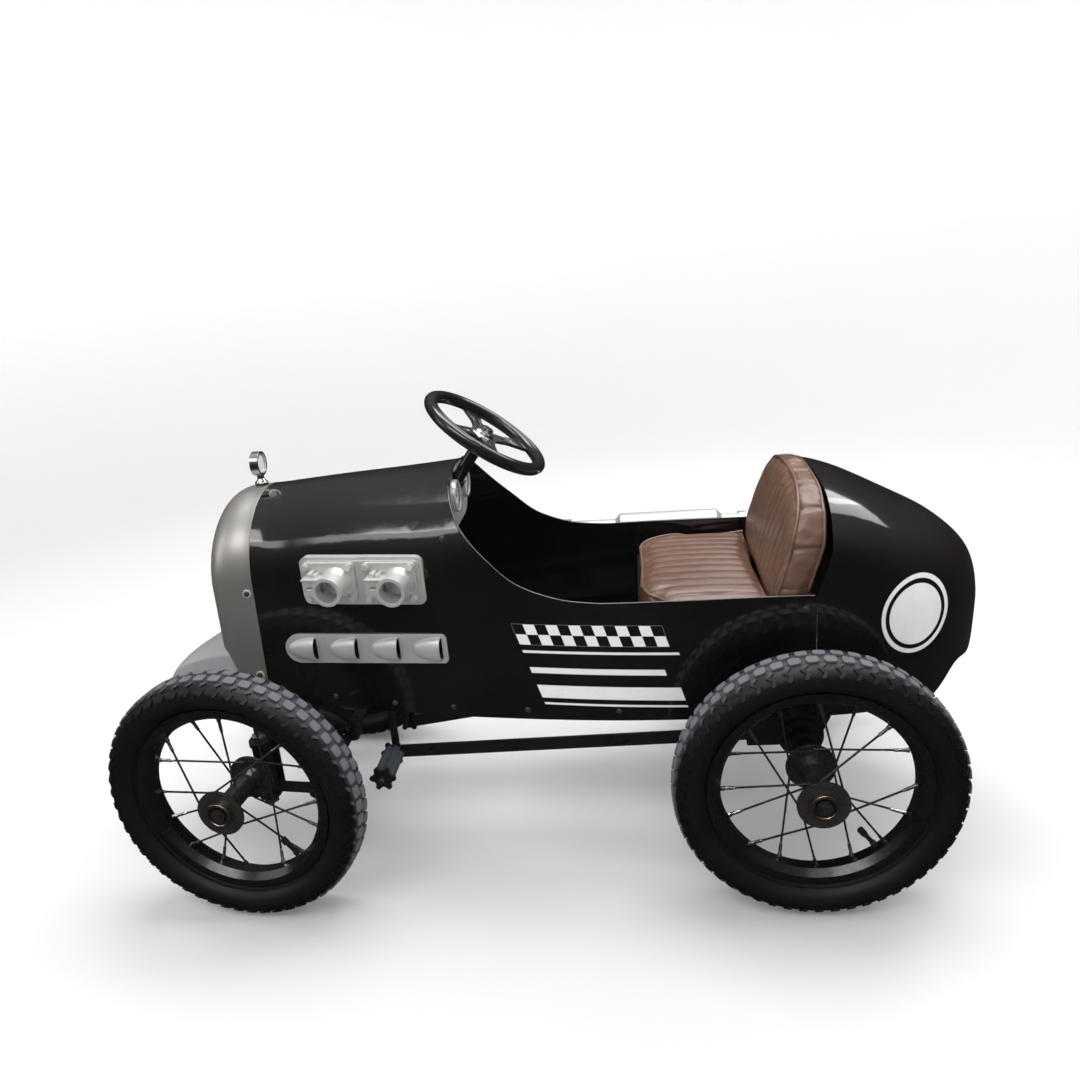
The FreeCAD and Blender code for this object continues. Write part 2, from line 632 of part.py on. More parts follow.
def hub(bore):
    """Flanged hub with a bearing cup standing proud on the outer (+Y) face."""
    flange_in = HUB_FLANGE_OFFSET - 1.5
    flange_out = HUB_FLANGE_OFFSET + 1.5
    profile = [(-flange_out, bore), (-flange_out, HUB_FLANGE_RADIUS), (-flange_in, HUB_FLANGE_RADIUS),
               (-flange_in + 1.0, 15.5), (-22.0, 12.0), (22.0, 12.0), (flange_in - 1.0, 15.5),
               (flange_in, HUB_FLANGE_RADIUS), (flange_out, HUB_FLANGE_RADIUS), (flange_out, 14.6),
               (flange_out + 4.5, 14.6), (flange_out + 4.5, 11.6), (flange_out, 11.6), (flange_out, bore)]
    return ring_xz(profile)


def wheel_parts(bore):
    hub_solid = hub(bore)
    laced = [s.cut(hub_solid) for s in spokes()]
    return tyre(), rim(), laced, hub_solid


def knuckle_place(shape, side):
    """From kingpin axes (x ahead, y outward) to the car, at the rest steering angle."""
    placed = shape if side > 0 else mirrored(shape)
    placed = turned(placed, (0, 0, 0), UP, REST_STEER_DEG)
    return moved(placed, KINGPIN_X, KINGPIN_Y * side, 0)


def save_wheel(name, place, bore):
    tyre_solid, rim_solid, laced, hub_solid = wheel_parts(bore)
    save("tyre_" + name, place(tyre_solid))
    save("rim_" + name, place(rim_solid))
    save("spokes_" + name, *[place(s) for s in laced])
    save("hub_" + name, place(hub_solid))


def build_wheels():
    outboard = HALF_TRACK - KINGPIN_Y
    for name, side in (("front_left", 1.0), ("front_right", -1.0)):
        def place(shape, side=side):
            return knuckle_place(moved(shape, 0, outboard, TYRE_RADIUS), side)
        save_wheel(name, place, AXLE_RADIUS + RUNNING)
    for name, side in (("rear_left", 1.0), ("rear_right", -1.0)):
        def place(shape, side=side):
            shifted = moved(shape, REAR_AXLE_X, HALF_TRACK, TYRE_RADIUS)
            return shifted if side > 0 else mirrored(shifted)
        save_wheel(name, place, AXLE_RADIUS + RUNNING)


def axle_end(y_face):
    """Threaded end and nut that keep a wheel on, standing out from y_face along +Y."""
    stub = cyl((0, y_face, TYRE_RADIUS), LEFT, 5.0, 6.5)
    nut = hexagon((0, y_face + 0.6, TYRE_RADIUS), LEFT, 15.0, 4.4)
    return [stub, nut]


def build_knuckles():
    outboard = HALF_TRACK - KINGPIN_Y
    face = outboard + HUB_FLANGE_OFFSET + 1.5
    barrel = cyl((0, 0, 114.0), UP, 11.0, 64.0)
    collar = cyl((0, 8.0, TYRE_RADIUS), LEFT, 9.0, outboard - HUB_FLANGE_OFFSET - 1.5 - 8.5)
    stub = cyl((0, 8.0, TYRE_RADIUS), LEFT, AXLE_RADIUS, face - 8.0)
    arm = box(-STEERING_ARM, 0.0, -7.5, 7.5, 118.0, 123.0)
    eye = cyl((-STEERING_ARM, 0, 118.0), UP, 10.0, 5.0)
    knuckle = barrel.fuse([collar, stub, arm, eye] + axle_end(face))
    knuckle = knuckle.cut(cyl((0, 0, 100.0), UP, 5.0 + RUNNING, 100.0))
    knuckle = knuckle.cut(cyl((-STEERING_ARM, 0, 100.0), UP, 4.0 + 2 * RUNNING, 40.0)).removeSplitter()
    save("knuckle_left", knuckle_place(knuckle, 1.0))
    save("knuckle_right", knuckle_place(knuckle, -1.0))


def steering_arm_end():
    angle = math.radians(REST_STEER_DEG)
    return KINGPIN_X - STEERING_ARM * math.cos(angle), -STEERING_ARM * math.sin(angle)


def build_tie_rod():
    low, high = TIE_ROD_Z, TIE_ROD_Z + TIE_ROD_THICKNESS
    x, shift = steering_arm_end()
    bar = box(x - 8.0, x + 8.0, -KINGPIN_Y + shift, KINGPIN_Y + shift, low, high)
    pieces = []
    for side in (-1.0, 1.0):
        y = KINGPIN_Y * side + shift
        pieces.append(cyl((x, y, low), UP, 9.0, TIE_ROD_THICKNESS))
        pieces.append(cyl((x, y, low), UP, 4.0, 14.5))
        pieces.append(hexagon((x, y, 123.8), UP, 13.0, 5.0))
        pieces.append(cyl((x, y, low - 3.0), UP, 6.5, 3.2))
    slot_x = slot_middle()
    pad = rounded_pad(slot_x - 17.0, slot_x + 17.0, shift - 14.0, shift + 14.0, low, high)
    rod = bar.fuse(pieces + [pad])
    slot = rounded_pad(slot_x - 9.0, slot_x + 9.0, shift - 5.2, shift + 5.2, low - 1.0, high + 1.0)
    save("tie_rod", rod.cut(slot).removeSplitter())


def slot_middle():
    """Where the pitman pin crosses the middle of the tie rod's thickness, at the rest turn."""
    tilt = math.radians(COLUMN_TILT_DEG)
    turn = math.radians(REST_WHEEL_TURN_DEG)
    x, _, z = STEERING_WHEEL_CENTRE
    reach = PITMAN_RADIUS * math.cos(turn)
    x_line = x - reach * math.cos(tilt)
    z_line = z - reach * math.sin(tilt)
    return x_line + (z_line - TIE_ROD_Z - 0.5 * TIE_ROD_THICKNESS) * math.tan(tilt)


def rounded_pad(x0, x1, y0, y1, z0, z1):
    pad = box(x0, x1, y0, y1, z0, z1)
    edges = [e for e in pad.Edges if is_along(e, UP)]
    return pad.makeFillet(min(5.0, 0.45 * (y1 - y0)), edges)


# ---------------------------------------------------------------- steering
def steering_place(shape):
    """From wheel axes (z up the column toward the driver) to the car, at the rest turn."""
    up_column = column_axis().multiply(-1.0)
    placed = turned(shape, (0, 0, 0), UP, REST_WHEEL_TURN_DEG)
    lean = FreeCAD.Rotation(vec(0, 1, 0), -COLUMN_TILT_DEG)
    placed = placed.copy()
    placed.Placement = FreeCAD.Placement(vec(*STEERING_WHEEL_CENTRE), lean).multiply(placed.Placement)
    assert lean.multVec(UP).sub(up_column).Length < 1e-6
    return placed


def spider():
    hub_disc = cyl((0, 0, -7.0), UP, 17.0, 5.0)
    reach = STEERING_WHEEL_RADIUS - STEERING_RIM_RADIUS + 0.8
    arms = []
    for angle in (57.0, 123.0, 237.0, 303.0):
        arm = prism_xy([(8.0, -10.0), (38.0, -7.0), (reach, -11.0), (reach, 11.0), (38.0, 7.0), (8.0, 10.0)], -6.5, -2.5)
        slot = box(28.0, 48.0, -2.0, 2.0, -8.0, 0.0)
        arms.append(turned(arm.cut(slot), (0, 0, 0), UP, angle))
    boss = Part.makeCone(13.0, 10.0, 4.0, vec(0, 0, -2.5), UP)
    return hub_disc.fuse(arms + [boss])


def build_steering():
    rim_ring = Part.makeTorus(STEERING_WHEEL_RADIUS, STEERING_RIM_RADIUS)
    spider_solid = spider().cut(rim_ring).cut(cyl((0, 0, -20.0), UP, 5.0, 40.0)).removeSplitter()
    nut = hexagon((0, 0, 1.6), UP, 13.0, 4.5)
    bolt = cyl((0, 0, -6.9), UP, 4.9, 8.6)
    small = [domed_screw((22.0 * c, 22.0 * s, -2.5), UP, 2.6, 2.0) for c, s in ((0.0, 1.0), (0.0, -1.0))]
    save("steering_wheel_rim", steering_place(rim_ring))
    save("steering_wheel_spider", steering_place(spider_solid))
    save("steering_wheel_screws", *[steering_place(p) for p in [bolt.fuse(nut).removeSplitter()] + small])
    length = PITMAN_STATION - 7.2
    shaft = cyl((0, 0, -7.2 - length), UP, COLUMN_RADIUS, length)
    cup = Part.makeCone(9.0, 15.0, 14.0, vec(0, 0, -21.2), UP)
    save("steering_column", steering_place(shaft.fuse(cup).removeSplitter()))
    save("pitman_arm", steering_place(pitman()))


def pitman():
    """Crank at the foot of the column; its pin works in the tie rod's slot."""
    z = -PITMAN_STATION - 6.4
    clamp = cyl((0, 0, z), UP, 12.0, 6.2)
    arm = box(-PITMAN_RADIUS, 0.0, -7.0, 7.0, z, z + 6.2)
    end = cyl((-PITMAN_RADIUS, 0, z), UP, 9.0, 6.2)
    pin = cyl((-PITMAN_RADIUS, 0, z - 32.0), UP, 4.0, 32.0)
    return clamp.fuse([arm, end, pin]).removeSplitter()


def build_column_bushes():
    bushes = []
    for z, radius in ((448.0, 10.5), (204.0, 10.5)):
        base = column_point(station_at_z(z) - 9.0)
        bushes.append(tube(base, column_axis(), radius, COLUMN_RADIUS + RUNNING, 18.0))
    save("column_bushes", *bushes)


# ---------------------------------------------------------------- treadle drive
def build_pedals():
    shaft = cyl((PEDAL_X, -77.0, PEDAL_PIVOT_Z), LEFT, 5.0, 154.0)
    save("pedal_pivot_shaft", shaft)
    brackets = []
    for side in (-1.0, 1.0):
        y0 = 73.0 if side > 0 else -77.0
        post = prism_xz([(PEDAL_X - 20.0, RAIL_TOP_Z), (PEDAL_X + 20.0, RAIL_TOP_Z), (PEDAL_X + 11.0, PEDAL_PIVOT_Z),
                         (PEDAL_X - 11.0, PEDAL_PIVOT_Z)], y0, y0 + 4.0)
        post = post.fuse(cyl((PEDAL_X, y0, PEDAL_PIVOT_Z), LEFT, 11.0, 4.0))
        foot = box(PEDAL_X - 20.0, PEDAL_X + 20.0, min(y0, 95.0 * side), max(y0 + 4.0, 95.0 * side),
                   RAIL_TOP_Z, RAIL_TOP_Z + 3.0)
        brackets.append(post.fuse(foot).cut(shaft).removeSplitter())
    save("pedal_pivot_brackets", *brackets)
    for name, side in (("left", 1.0), ("right", -1.0)):
        for stem, shape in (("pedal_hanger_", pedal_hanger()), ("pedal_block_", pedal_block())):
            save(stem + name, shape if side > 0 else mirrored(shape))
    save("push_strap_left", push_strap(TYRE_RADIUS - CRANK_THROW))
    save("push_strap_right", mirrored(push_strap(TYRE_RADIUS + CRANK_THROW)))


def pedal_hanger():
    """A bent rod: pivot sleeve on top, straight drop, pedal spindle turned outward."""
    r, bend = PEDAL_ROD_RADIUS, 7.0
    sleeve = cyl((PEDAL_X, 14.0, PEDAL_PIVOT_Z), LEFT, 9.0, 28.0)
    top = vec(PEDAL_X, PEDAL_ROD_Y, PEDAL_PIVOT_Z)
    corner = vec(PEDAL_X, PEDAL_ROD_Y, PEDAL_Z + bend)
    middle = vec(PEDAL_X, PEDAL_ROD_Y + bend - bend * math.cos(math.radians(45)),
                 PEDAL_Z + bend - bend * math.sin(math.radians(45)))
    out = vec(PEDAL_X, PEDAL_ROD_Y + bend, PEDAL_Z)
    end = vec(PEDAL_X, PEDAL_OUTER_Y + 4.5, PEDAL_Z)
    path = Part.Wire([Part.makeLine(top, corner), Part.Arc(corner, middle, out).toShape(), Part.makeLine(out, end)])
    rod = swept_tube(path, top, vec(0, 0, -1), r)
    keeper = cyl((PEDAL_X, PEDAL_OUTER_Y + 1.0, PEDAL_Z), LEFT, 6.5, 2.5)
    hanger = rod.fuse([sleeve, keeper])
    return hanger.cut(cyl((PEDAL_X, 0.0, PEDAL_PIVOT_Z), LEFT, 5.0 + RUNNING, 60.0)).removeSplitter()


def star_outline(points_count, tip, valley):
    outline = []
    for k in range(points_count):
        for offset, radius in ((-0.16, tip), (0.16, tip), (0.5, valley)):
            angle = 2.0 * math.pi * (k + offset) / points_count
            outline.append((radius * math.cos(angle), radius * math.sin(angle)))
    return outline


def pedal_block():
    """A rubber tread block with a star-shaped cap at each end."""
    rubber = prism_xz(star_outline(6, 13.5, 10.5), PEDAL_INNER_Y + 3.0, PEDAL_OUTER_Y - 3.0)
    caps = [prism_xz(star_outline(6, 16.5, 11.5), y, y + 3.0) for y in (PEDAL_INNER_Y, PEDAL_OUTER_Y - 3.0)]
    block = moved(rubber.fuse(caps), PEDAL_X, 0, PEDAL_Z)
    return block.cut(cyl((PEDAL_X, 30.0, PEDAL_Z), LEFT, PEDAL_ROD_RADIUS + RUNNING, 90.0)).removeSplitter()


def push_strap(crank_z):
    """Flat bar from the pedal spindle back to the crank pin."""
    y0 = STRAP_Y
    run_x, run_z = REAR_AXLE_X - PEDAL_X, crank_z - PEDAL_Z
    length = math.hypot(run_x, run_z)
    half = STRAP_DEPTH / 2.0
    bar = box(-length, 0.0, y0, y0 + STRAP_THICKNESS, -half, half)
    ends = [cyl((x, y0, 0), LEFT, half + 1.0, STRAP_THICKNESS) for x in (0.0, -length)]
    bar = bar.fuse(ends)
    bar = bar.cut(cyl((0, 0, 0), LEFT, PEDAL_ROD_RADIUS + RUNNING, 80.0))
    bar = bar.cut(cyl((-length, 0, 0), LEFT, 6.0, 80.0)).removeSplitter()
    angle = math.degrees(math.atan2(-run_z, -run_x))
    bar = turned(bar, (0, 0, 0), LEFT, -angle)
    return moved(bar, PEDAL_X, 0, PEDAL_Z)


def crank_web(crank_z):
    """Crank arm on the axle with its pin pointing inward, toward the strap."""
    y0, y1 = 41.0, 48.0
    low, high = sorted((TYRE_RADIUS, crank_z))
    web = box(REAR_AXLE_X - 8.0, REAR_AXLE_X + 8.0, y0, y1, low, high)
    ends = [cyl((REAR_AXLE_X, y0, z), LEFT, r, y1 - y0) for z, r in ((TYRE_RADIUS, 11.0), (crank_z, 9.0))]
    head = cyl((REAR_AXLE_X, y0 - 0.6, crank_z), LEFT, 6.0, 1.0)
    return web.fuse(ends + [head])


def build_rear_axle():
    face = HALF_TRACK + HUB_FLANGE_OFFSET + 1.5
    shaft = cyl((REAR_AXLE_X, -face, TYRE_RADIUS), LEFT, AXLE_RADIUS, 2.0 * face)
    left_web = crank_web(TYRE_RADIUS - CRANK_THROW)
    right_web = mirrored(crank_web(TYRE_RADIUS + CRANK_THROW))
    collars = []
    for side in (-1.0, 1.0):
        collar = cyl((REAR_AXLE_X, 117.0, TYRE_RADIUS), LEFT, 9.0, HALF_TRACK - HUB_FLANGE_OFFSET - 2.0 - 117.0)
        ends = [moved(p, REAR_AXLE_X, 0, 0) for p in axle_end(face)]
        for piece in [collar] + ends:
            collars.append(piece if side > 0 else mirrored(piece))
    axle = shaft.fuse([left_web, right_web] + collars).removeSplitter()
    save("crank_axle", axle)
    hangers, bearings = [], []
    for side in (-1.0, 1.0):
        hanger = rear_hanger()
        bearing = rear_bearing()
        hangers.append(hanger if side > 0 else mirrored(hanger))
        bearings.append(bearing if side > 0 else mirrored(bearing))
    save("rear_hangers", *hangers)
    save("rear_bearings", *bearings)


def rear_hanger():
    x = REAR_AXLE_X
    plate = prism_xz([(x - 35.0, RAIL_TOP_Z), (x - 33.0, 178.0), (x - 22.0, TYRE_RADIUS), (x + 27.0, 142.0),
                      (x + 61.0, 142.0), (x + 70.0, RAIL_TOP_Z)], 95.0, 99.0)
    boss = cyl((x, 95.0, TYRE_RADIUS), LEFT, 26.0, 4.0)
    return plate.fuse(boss).cut(cyl((x, 90.0, TYRE_RADIUS), LEFT, 15.0, 20.0)).removeSplitter()


def rear_bearing():
    x = REAR_AXLE_X
    housing = tube((x, 94.0, TYRE_RADIUS), LEFT, 15.0, AXLE_RADIUS + RUNNING, 22.0)
    flange = tube((x, 99.0, TYRE_RADIUS), LEFT, 24.0, AXLE_RADIUS + RUNNING, 4.0)
    return housing.fuse(flange).removeSplitter()


# ---------------------------------------------------------------- seat
def build_seat():
    rear, front, half = -257.5, -118.0, 117.0
    low, high = 300.6, 341.0
    cushion = box(rear, front, -half, half, low, high)
    corners = [e for e in cushion.Edges if is_along(e, UP) and e.Vertexes[0].Point.x > front - 1.0]
    cushion = cushion.makeFillet(62.0, corners)
    top = [e for e in cushion.Edges if all(abs(v.Point.z - high) < 1e-6 for v in e.Vertexes)
           and e.BoundBox.XMax > rear + 1.0]
    save("seat_cushion", cushion.makeFillet(8.0, top))
    save("seat_back", seat_back())


def seat_back():
    """A wedge leaning against the tail's front edge, arched on top."""
    side = prism_xz([(-258.2, 300.6), (-258.2, 341.0), (-297.0, 450.0), (-321.2, 450.0), (-317.6, 390.0),
                     (-302.6, 347.0), (-302.0, 300.6)], -150, 150)
    front_view = arch_loft([(x, 127.0, 127.0, 300.0, 348.0, 450.0, 3.0) for x in (-340.0, -240.0)])
    return side.common(front_view)


def main():
    os.makedirs("parts", exist_ok=True)
    outer, screws = build_body()
    build_tail()
    build_radiator()
    build_radiator_cap()
    build_apron()
    build_dash(outer)
    build_intakes(outer)
    build_louvres(outer)
    build_exhaust(outer)
    save("body_screws", *screws)
    build_frame()
    build_seat_box()
    build_front_axle()
    build_wheels()
    build_knuckles()
    build_tie_rod()
    build_steering()
    build_column_bushes()
    build_pedals()
    build_rear_axle()
    build_seat()


main()
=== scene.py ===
import json
import math

import bmesh
import bpy
import numpy as np
from mathutils import Matrix, Vector
from mathutils.bvhtree import BVHTree


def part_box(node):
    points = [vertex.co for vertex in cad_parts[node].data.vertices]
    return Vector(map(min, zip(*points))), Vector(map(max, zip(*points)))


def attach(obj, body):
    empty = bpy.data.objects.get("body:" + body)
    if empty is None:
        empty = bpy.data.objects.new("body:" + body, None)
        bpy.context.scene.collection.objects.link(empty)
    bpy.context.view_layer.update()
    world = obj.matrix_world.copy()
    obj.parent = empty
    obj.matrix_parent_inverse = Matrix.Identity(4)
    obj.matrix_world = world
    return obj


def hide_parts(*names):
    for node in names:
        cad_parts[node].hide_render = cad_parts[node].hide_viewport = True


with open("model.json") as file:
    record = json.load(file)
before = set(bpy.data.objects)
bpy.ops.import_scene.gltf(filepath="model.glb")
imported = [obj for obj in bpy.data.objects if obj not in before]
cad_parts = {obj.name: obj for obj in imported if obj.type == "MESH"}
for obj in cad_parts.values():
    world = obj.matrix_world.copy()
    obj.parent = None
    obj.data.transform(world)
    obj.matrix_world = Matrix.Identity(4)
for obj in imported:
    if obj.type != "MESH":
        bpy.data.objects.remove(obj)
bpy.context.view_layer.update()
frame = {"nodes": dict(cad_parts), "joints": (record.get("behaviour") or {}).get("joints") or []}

# A racer-style pedal car.  Metres; +X at the nose, +Y at the car's left, +Z up.
NODES = frame["nodes"]
SCENE = bpy.context.scene
MM = 0.001
CAMERA_PLACE = (-0.12515, 1.03634, 0.73117)
CAMERA_YAW, CAMERA_PITCH, CAMERA_ROLL = 0.1193, 0.3308, -0.0863
CAMERA_LENS = 30.336
STAGE_FLAT_RADIUS = 1.9
STAGE_CURVE = 1.3
STAGE_TOP = 3.9
TYRE_RADIUS = 0.1525
TREAD_PITCHES = 54
TREAD_SINK = 0.0006
SPOKES = 16
SPOKE_SWEEP_DEG = 62.0
GAUGE_Y = 0.031
DIAL_LEVEL = -0.0012
CAP_RING_RADIUS = 0.0146
SEAT_VOXEL = 0.0042
SEAT_PRESSURE = 4.0
SEAT_SWELL_CAP = 0.0060
CHANNEL = 0.0182
DART_RATE = 9.5
DART_SHIFT = 0.245
WHEELS = ("front_left", "front_right", "rear_left", "rear_right")
WHEEL_BODY = {"front_left": "wheel_front_left", "front_right": "wheel_front_right",
              "rear_left": "wheel_rear_left", "rear_right": "drive_axle"}


# ------------------------------------------------------------------ camera
def add_camera():
    level = math.cos(CAMERA_PITCH)
    forward = Vector((math.sin(CAMERA_YAW) * level, -math.cos(CAMERA_YAW) * level, -math.sin(CAMERA_PITCH)))
    right = forward.cross(Vector((0, 0, 1))).normalized()
    up = right.cross(forward)
    cos_roll, sin_roll = math.cos(CAMERA_ROLL), math.sin(CAMERA_ROLL)
    right_rolled = right * cos_roll + up * sin_roll
    up_rolled = up * cos_roll - right * sin_roll
    data = bpy.data.cameras.new("camera")
    data.sensor_width = 36.0
    data.lens = CAMERA_LENS
    data.clip_start = 0.02
    data.clip_end = 60.0
    camera = bpy.data.objects.new("camera", data)
    SCENE.collection.objects.link(camera)
    turn = Matrix((right_rolled, up_rolled, -forward)).transposed().to_4x4()
    camera.matrix_world = Matrix.Translation(CAMERA_PLACE) @ turn
    SCENE.camera = camera


# ------------------------------------------------------------------ mesh helpers
def link(name, mesh):
    obj = bpy.data.objects.new(name, mesh)
    SCENE.collection.objects.link(obj)
    return obj


def mesh_object(name, verts, faces, smooth=True):
    mesh = bpy.data.meshes.new(name)
    mesh.from_pydata([tuple(v) for v in verts], [], [tuple(f) for f in faces])
    mesh.update()
    if smooth:
        mesh.polygons.foreach_set("use_smooth", [True] * len(mesh.polygons))
    return link(name, mesh)


def fix_normals(obj):
    bm = bmesh.new()
    bm.from_mesh(obj.data)
    bmesh.ops.recalc_face_normals(bm, faces=bm.faces)
    bm.to_mesh(obj.data)
    bm.free()


class Build:
    """Collects vertices and faces of one piece."""

    def __init__(self):
        self.verts = []
        self.faces = []

    def add(self, verts, faces):
        base = len(self.verts)
        self.verts.extend(tuple(v) for v in verts)
        self.faces.extend(tuple(base + i for i in f) for f in faces)

    def lathe(self, profile, place, count=96, closed=True):
        """Turn (y, r) points about the Y axis; place maps a local point to the car."""
        n = len(profile)
        verts, faces = [], []
        for k in range(count):
            a = 2.0 * math.pi * k / count
            for y, r in profile:
                verts.append(place(Vector((r * math.cos(a), y, r * math.sin(a)))))
        spans = n if closed else n - 1
        for k in range(count):
            k2 = (k + 1) % count
            for j in range(spans):
                j2 = (j + 1) % n
                faces.append((k * n + j, k * n + j2, k2 * n + j2, k2 * n + j))
        self.add(verts, faces)

    def tube(self, path, radius, sides=10, closed=False, caps=True):
        """A round tube along points, of one radius or one for each point."""
        path = [Vector(p) for p in path]
        n = len(path)
        radii = radius if isinstance(radius, tuple) else (radius,) * n
        tangents = []
        for i in range(n):
            a = path[(i - 1) % n] if (closed or i > 0) else path[0]
            b = path[(i + 1) % n] if (closed or i < n - 1) else path[-1]
            tangents.append((b - a).normalized())
        side = tangents[0].orthogonal().normalized()
        verts, faces = [], []
        for p, t, r in zip(path, tangents, radii):
            side = (side - t * side.dot(t)).normalized()
            other = t.cross(side)
            for j in range(sides):
                a = 2.0 * math.pi * j / sides
                verts.append(p + (side * math.cos(a) + other * math.sin(a)) * r)
        rings = n if closed else n - 1
        for i in range(rings):
            i2 = (i + 1) % n
            for j in range(sides):
                j2 = (j + 1) % sides
                faces.append((i * sides + j, i * sides + j2, i2 * sides + j2, i2 * sides + j))
        if caps and not closed:
            faces.append(tuple(reversed(range(sides))))
            faces.append(tuple(range((n - 1) * sides, n * sides)))
        self.add(verts, faces)

    def prism(self, outline, height, place, chamfer=0.0, shrink=0.0):
        """A block standing on an outline of (u, v); place(u, v, h) gives the point."""
        n = len(outline)
        cu = sum(u for u, v in outline) / n
        cv = sum(v for u, v in outline) / n
        draw_in = chamfer / 6.0
        levels = [(0.0, 1.0), (max(height - chamfer, 0.0), 1.0 - shrink)]
        if chamfer > 0:
            levels.append((height - 0.3 * chamfer, 1.0 - shrink - 0.35 * draw_in))
            levels.append((height, 1.0 - shrink - draw_in))
        verts, faces = [], []
        for h, s in levels:
            for u, v in outline:
                verts.append(place(cu + (u - cu) * s, cv + (v - cv) * s, h))
        for level in range(len(levels) - 1):
            for j in range(n):
                j2 = (j + 1) % n
                a, b = level * n, (level + 1) * n
                faces.append((a + j, a + j2, b + j2, b + j))
        faces.append(tuple((len(levels) - 1) * n + j for j in range(n)))
        faces.append(tuple(reversed(range(n))))
        self.add(verts, faces)

    def object(self, name, smooth=True, sharp_deg=35.0):
        obj = mesh_object(name, self.verts, self.faces, smooth)
        fix_normals(obj)
        if sharp_deg is not None:
            obj.data.set_sharp_from_angle(angle=math.radians(sharp_deg))
        return obj


def smooth_line(points, per_span=6, closed=False):
    """Catmull-Rom points through the given ones."""
    pts = [np.array(p, float) for p in points]
    n = len(pts)
    out = []
    spans = n if closed else n - 1
    for i in range(spans):
        if closed:
            p0, p1, p2, p3 = (pts[(i + k) % n] for k in (-1, 0, 1, 2))
        else:
            p0, p1, p2, p3 = pts[max(i - 1, 0)], pts[i], pts[i + 1], pts[min(i + 2, n - 1)]
        for k in range(per_span):
            t = k / per_span
            out.append(0.5 * (2 * p1 + (p2 - p0) * t + (2 * p0 - 5 * p1 + 4 * p2 - p3) * t * t
                              + (3 * p1 - p0 - 3 * p2 + p3) * t ** 3))
    if not closed:
        out.append(pts[-1])
    return out


def bvh_of(mesh):
    points = [v.co.copy() for v in mesh.vertices]
    return BVHTree.FromPolygons(points, [tuple(p.vertices) for p in mesh.polygons])


# ------------------------------------------------------------------ material helpers
class Paint:
    """A Principled material with short calls for the usual procedural nodes."""

    def __init__(self, name, **sockets):
        self.material = bpy.data.materials.new(name)
        self.material.use_nodes = True
        self.tree = self.material.node_tree
        self.tree.nodes.clear()
        self.shader = self.node("ShaderNodeBsdfPrincipled")
        out = self.node("ShaderNodeOutputMaterial")
        self.tree.links.new(self.shader.outputs[0], out.inputs[0])
        self.where = self.node("ShaderNodeTexCoord").outputs["Object"]
        for key, value in sockets.items():
            self.put(self.shader, key.replace("_", " "), value)

    def node(self, kind, **settings):
        made = self.tree.nodes.new(kind)
        for key, value in settings.items():
            setattr(made, key, value)
        return made

    def put(self, node, key, value):
        socket = node.inputs[key]
        if hasattr(value, "is_output"):
            self.tree.links.new(value, socket)
        elif hasattr(value, "__len__") and len(value) == 3 and socket.type == "RGBA":
            socket.default_value = (*value, 1.0)
        else:
            socket.default_value = value

    def scaled(self, factors, source=None):
        mapping = self.node("ShaderNodeMapping")
        self.put(mapping, "Vector", source or self.where)
        self.put(mapping, "Scale", factors)
        return mapping.outputs[0]

    def noise(self, scale, detail=4.0, rough=0.55, where=None, distortion=0.0):
        made = self.node("ShaderNodeTexNoise")
        self.put(made, "Vector", where or self.where)
        self.put(made, "Scale", scale)
        self.put(made, "Detail", detail)
        self.put(made, "Roughness", rough)
        self.put(made, "Distortion", distortion)
        return made.outputs["Fac"]

    def cells(self, scale, feature="F1", where=None):
        made = self.node("ShaderNodeTexVoronoi", feature=feature)
        self.put(made, "Vector", where or self.where)
        self.put(made, "Scale", scale)
        return made.outputs["Distance"]

    def span(self, value, low, high, to_low=0.0, to_high=1.0):
        made = self.node("ShaderNodeMapRange")
        for key, item in (("Value", value), ("From Min", low), ("From Max", high),
                          ("To Min", to_low), ("To Max", to_high)):
            self.put(made, key, item)
        return made.outputs[0]

    def math(self, operation, a, b=None):
        made = self.node("ShaderNodeMath", operation=operation)
        for index, value in enumerate((a, b)):
            if value is not None:
                self.put(made, index, value)
        return made.outputs[0]

    def mix(self, factor, a, b):
        made = self.node("ShaderNodeMix", data_type="RGBA")
        for index, value in ((0, factor), (6, a), (7, b)):
            if hasattr(value, "is_output"):
                self.tree.links.new(value, made.inputs[index])
            elif hasattr(value, "__len__"):
                made.inputs[index].default_value = (*value, 1.0)
            else:
                made.inputs[index].default_value = value
        return made.outputs[2]

    def bump(self, height, strength, distance, below=None):
        made = self.node("ShaderNodeBump")
        self.put(made, "Height", height)
        self.put(made, "Strength", strength)
        self.put(made, "Distance", distance)
        if below is not None:
            self.put(made, "Normal", below)
        return made.outputs[0]

    def split(self, source=None):
        made = self.node("ShaderNodeSeparateXYZ")
        self.put(made, 0, source or self.where)
        return made.outputs

    def edge_mask(self, radius, samples=4):
        """1 on edges and 0 on flats, with the normal of the rounded edge."""
        bevel = self.node("ShaderNodeBevel", samples=samples)
        self.put(bevel, "Radius", radius)
        geometry = self.node("ShaderNodeNewGeometry")
        dot = self.node("ShaderNodeVectorMath", operation="DOT_PRODUCT")
        self.put(dot, 0, bevel.outputs[0])
        self.put(dot, 1, geometry.outputs["Normal"])
        return self.span(dot.outputs["Value"], 0.97, 0.80), bevel.outputs[0]

    def set(self, **sockets):
        for key, value in sockets.items():
            self.put(self.shader, key.replace("_", " "), value)
        return self


def dress(obj, paint):
    material = paint.material
    obj.data.materials.clear()
    obj.data.materials.append(material)
    return obj


def dust(p):
    """Faint dust and wipe marks for roughness."""
    return p.math("MULTIPLY", p.noise(9.0, 5.0, 0.6), p.noise(140.0, 3.0, 0.6))


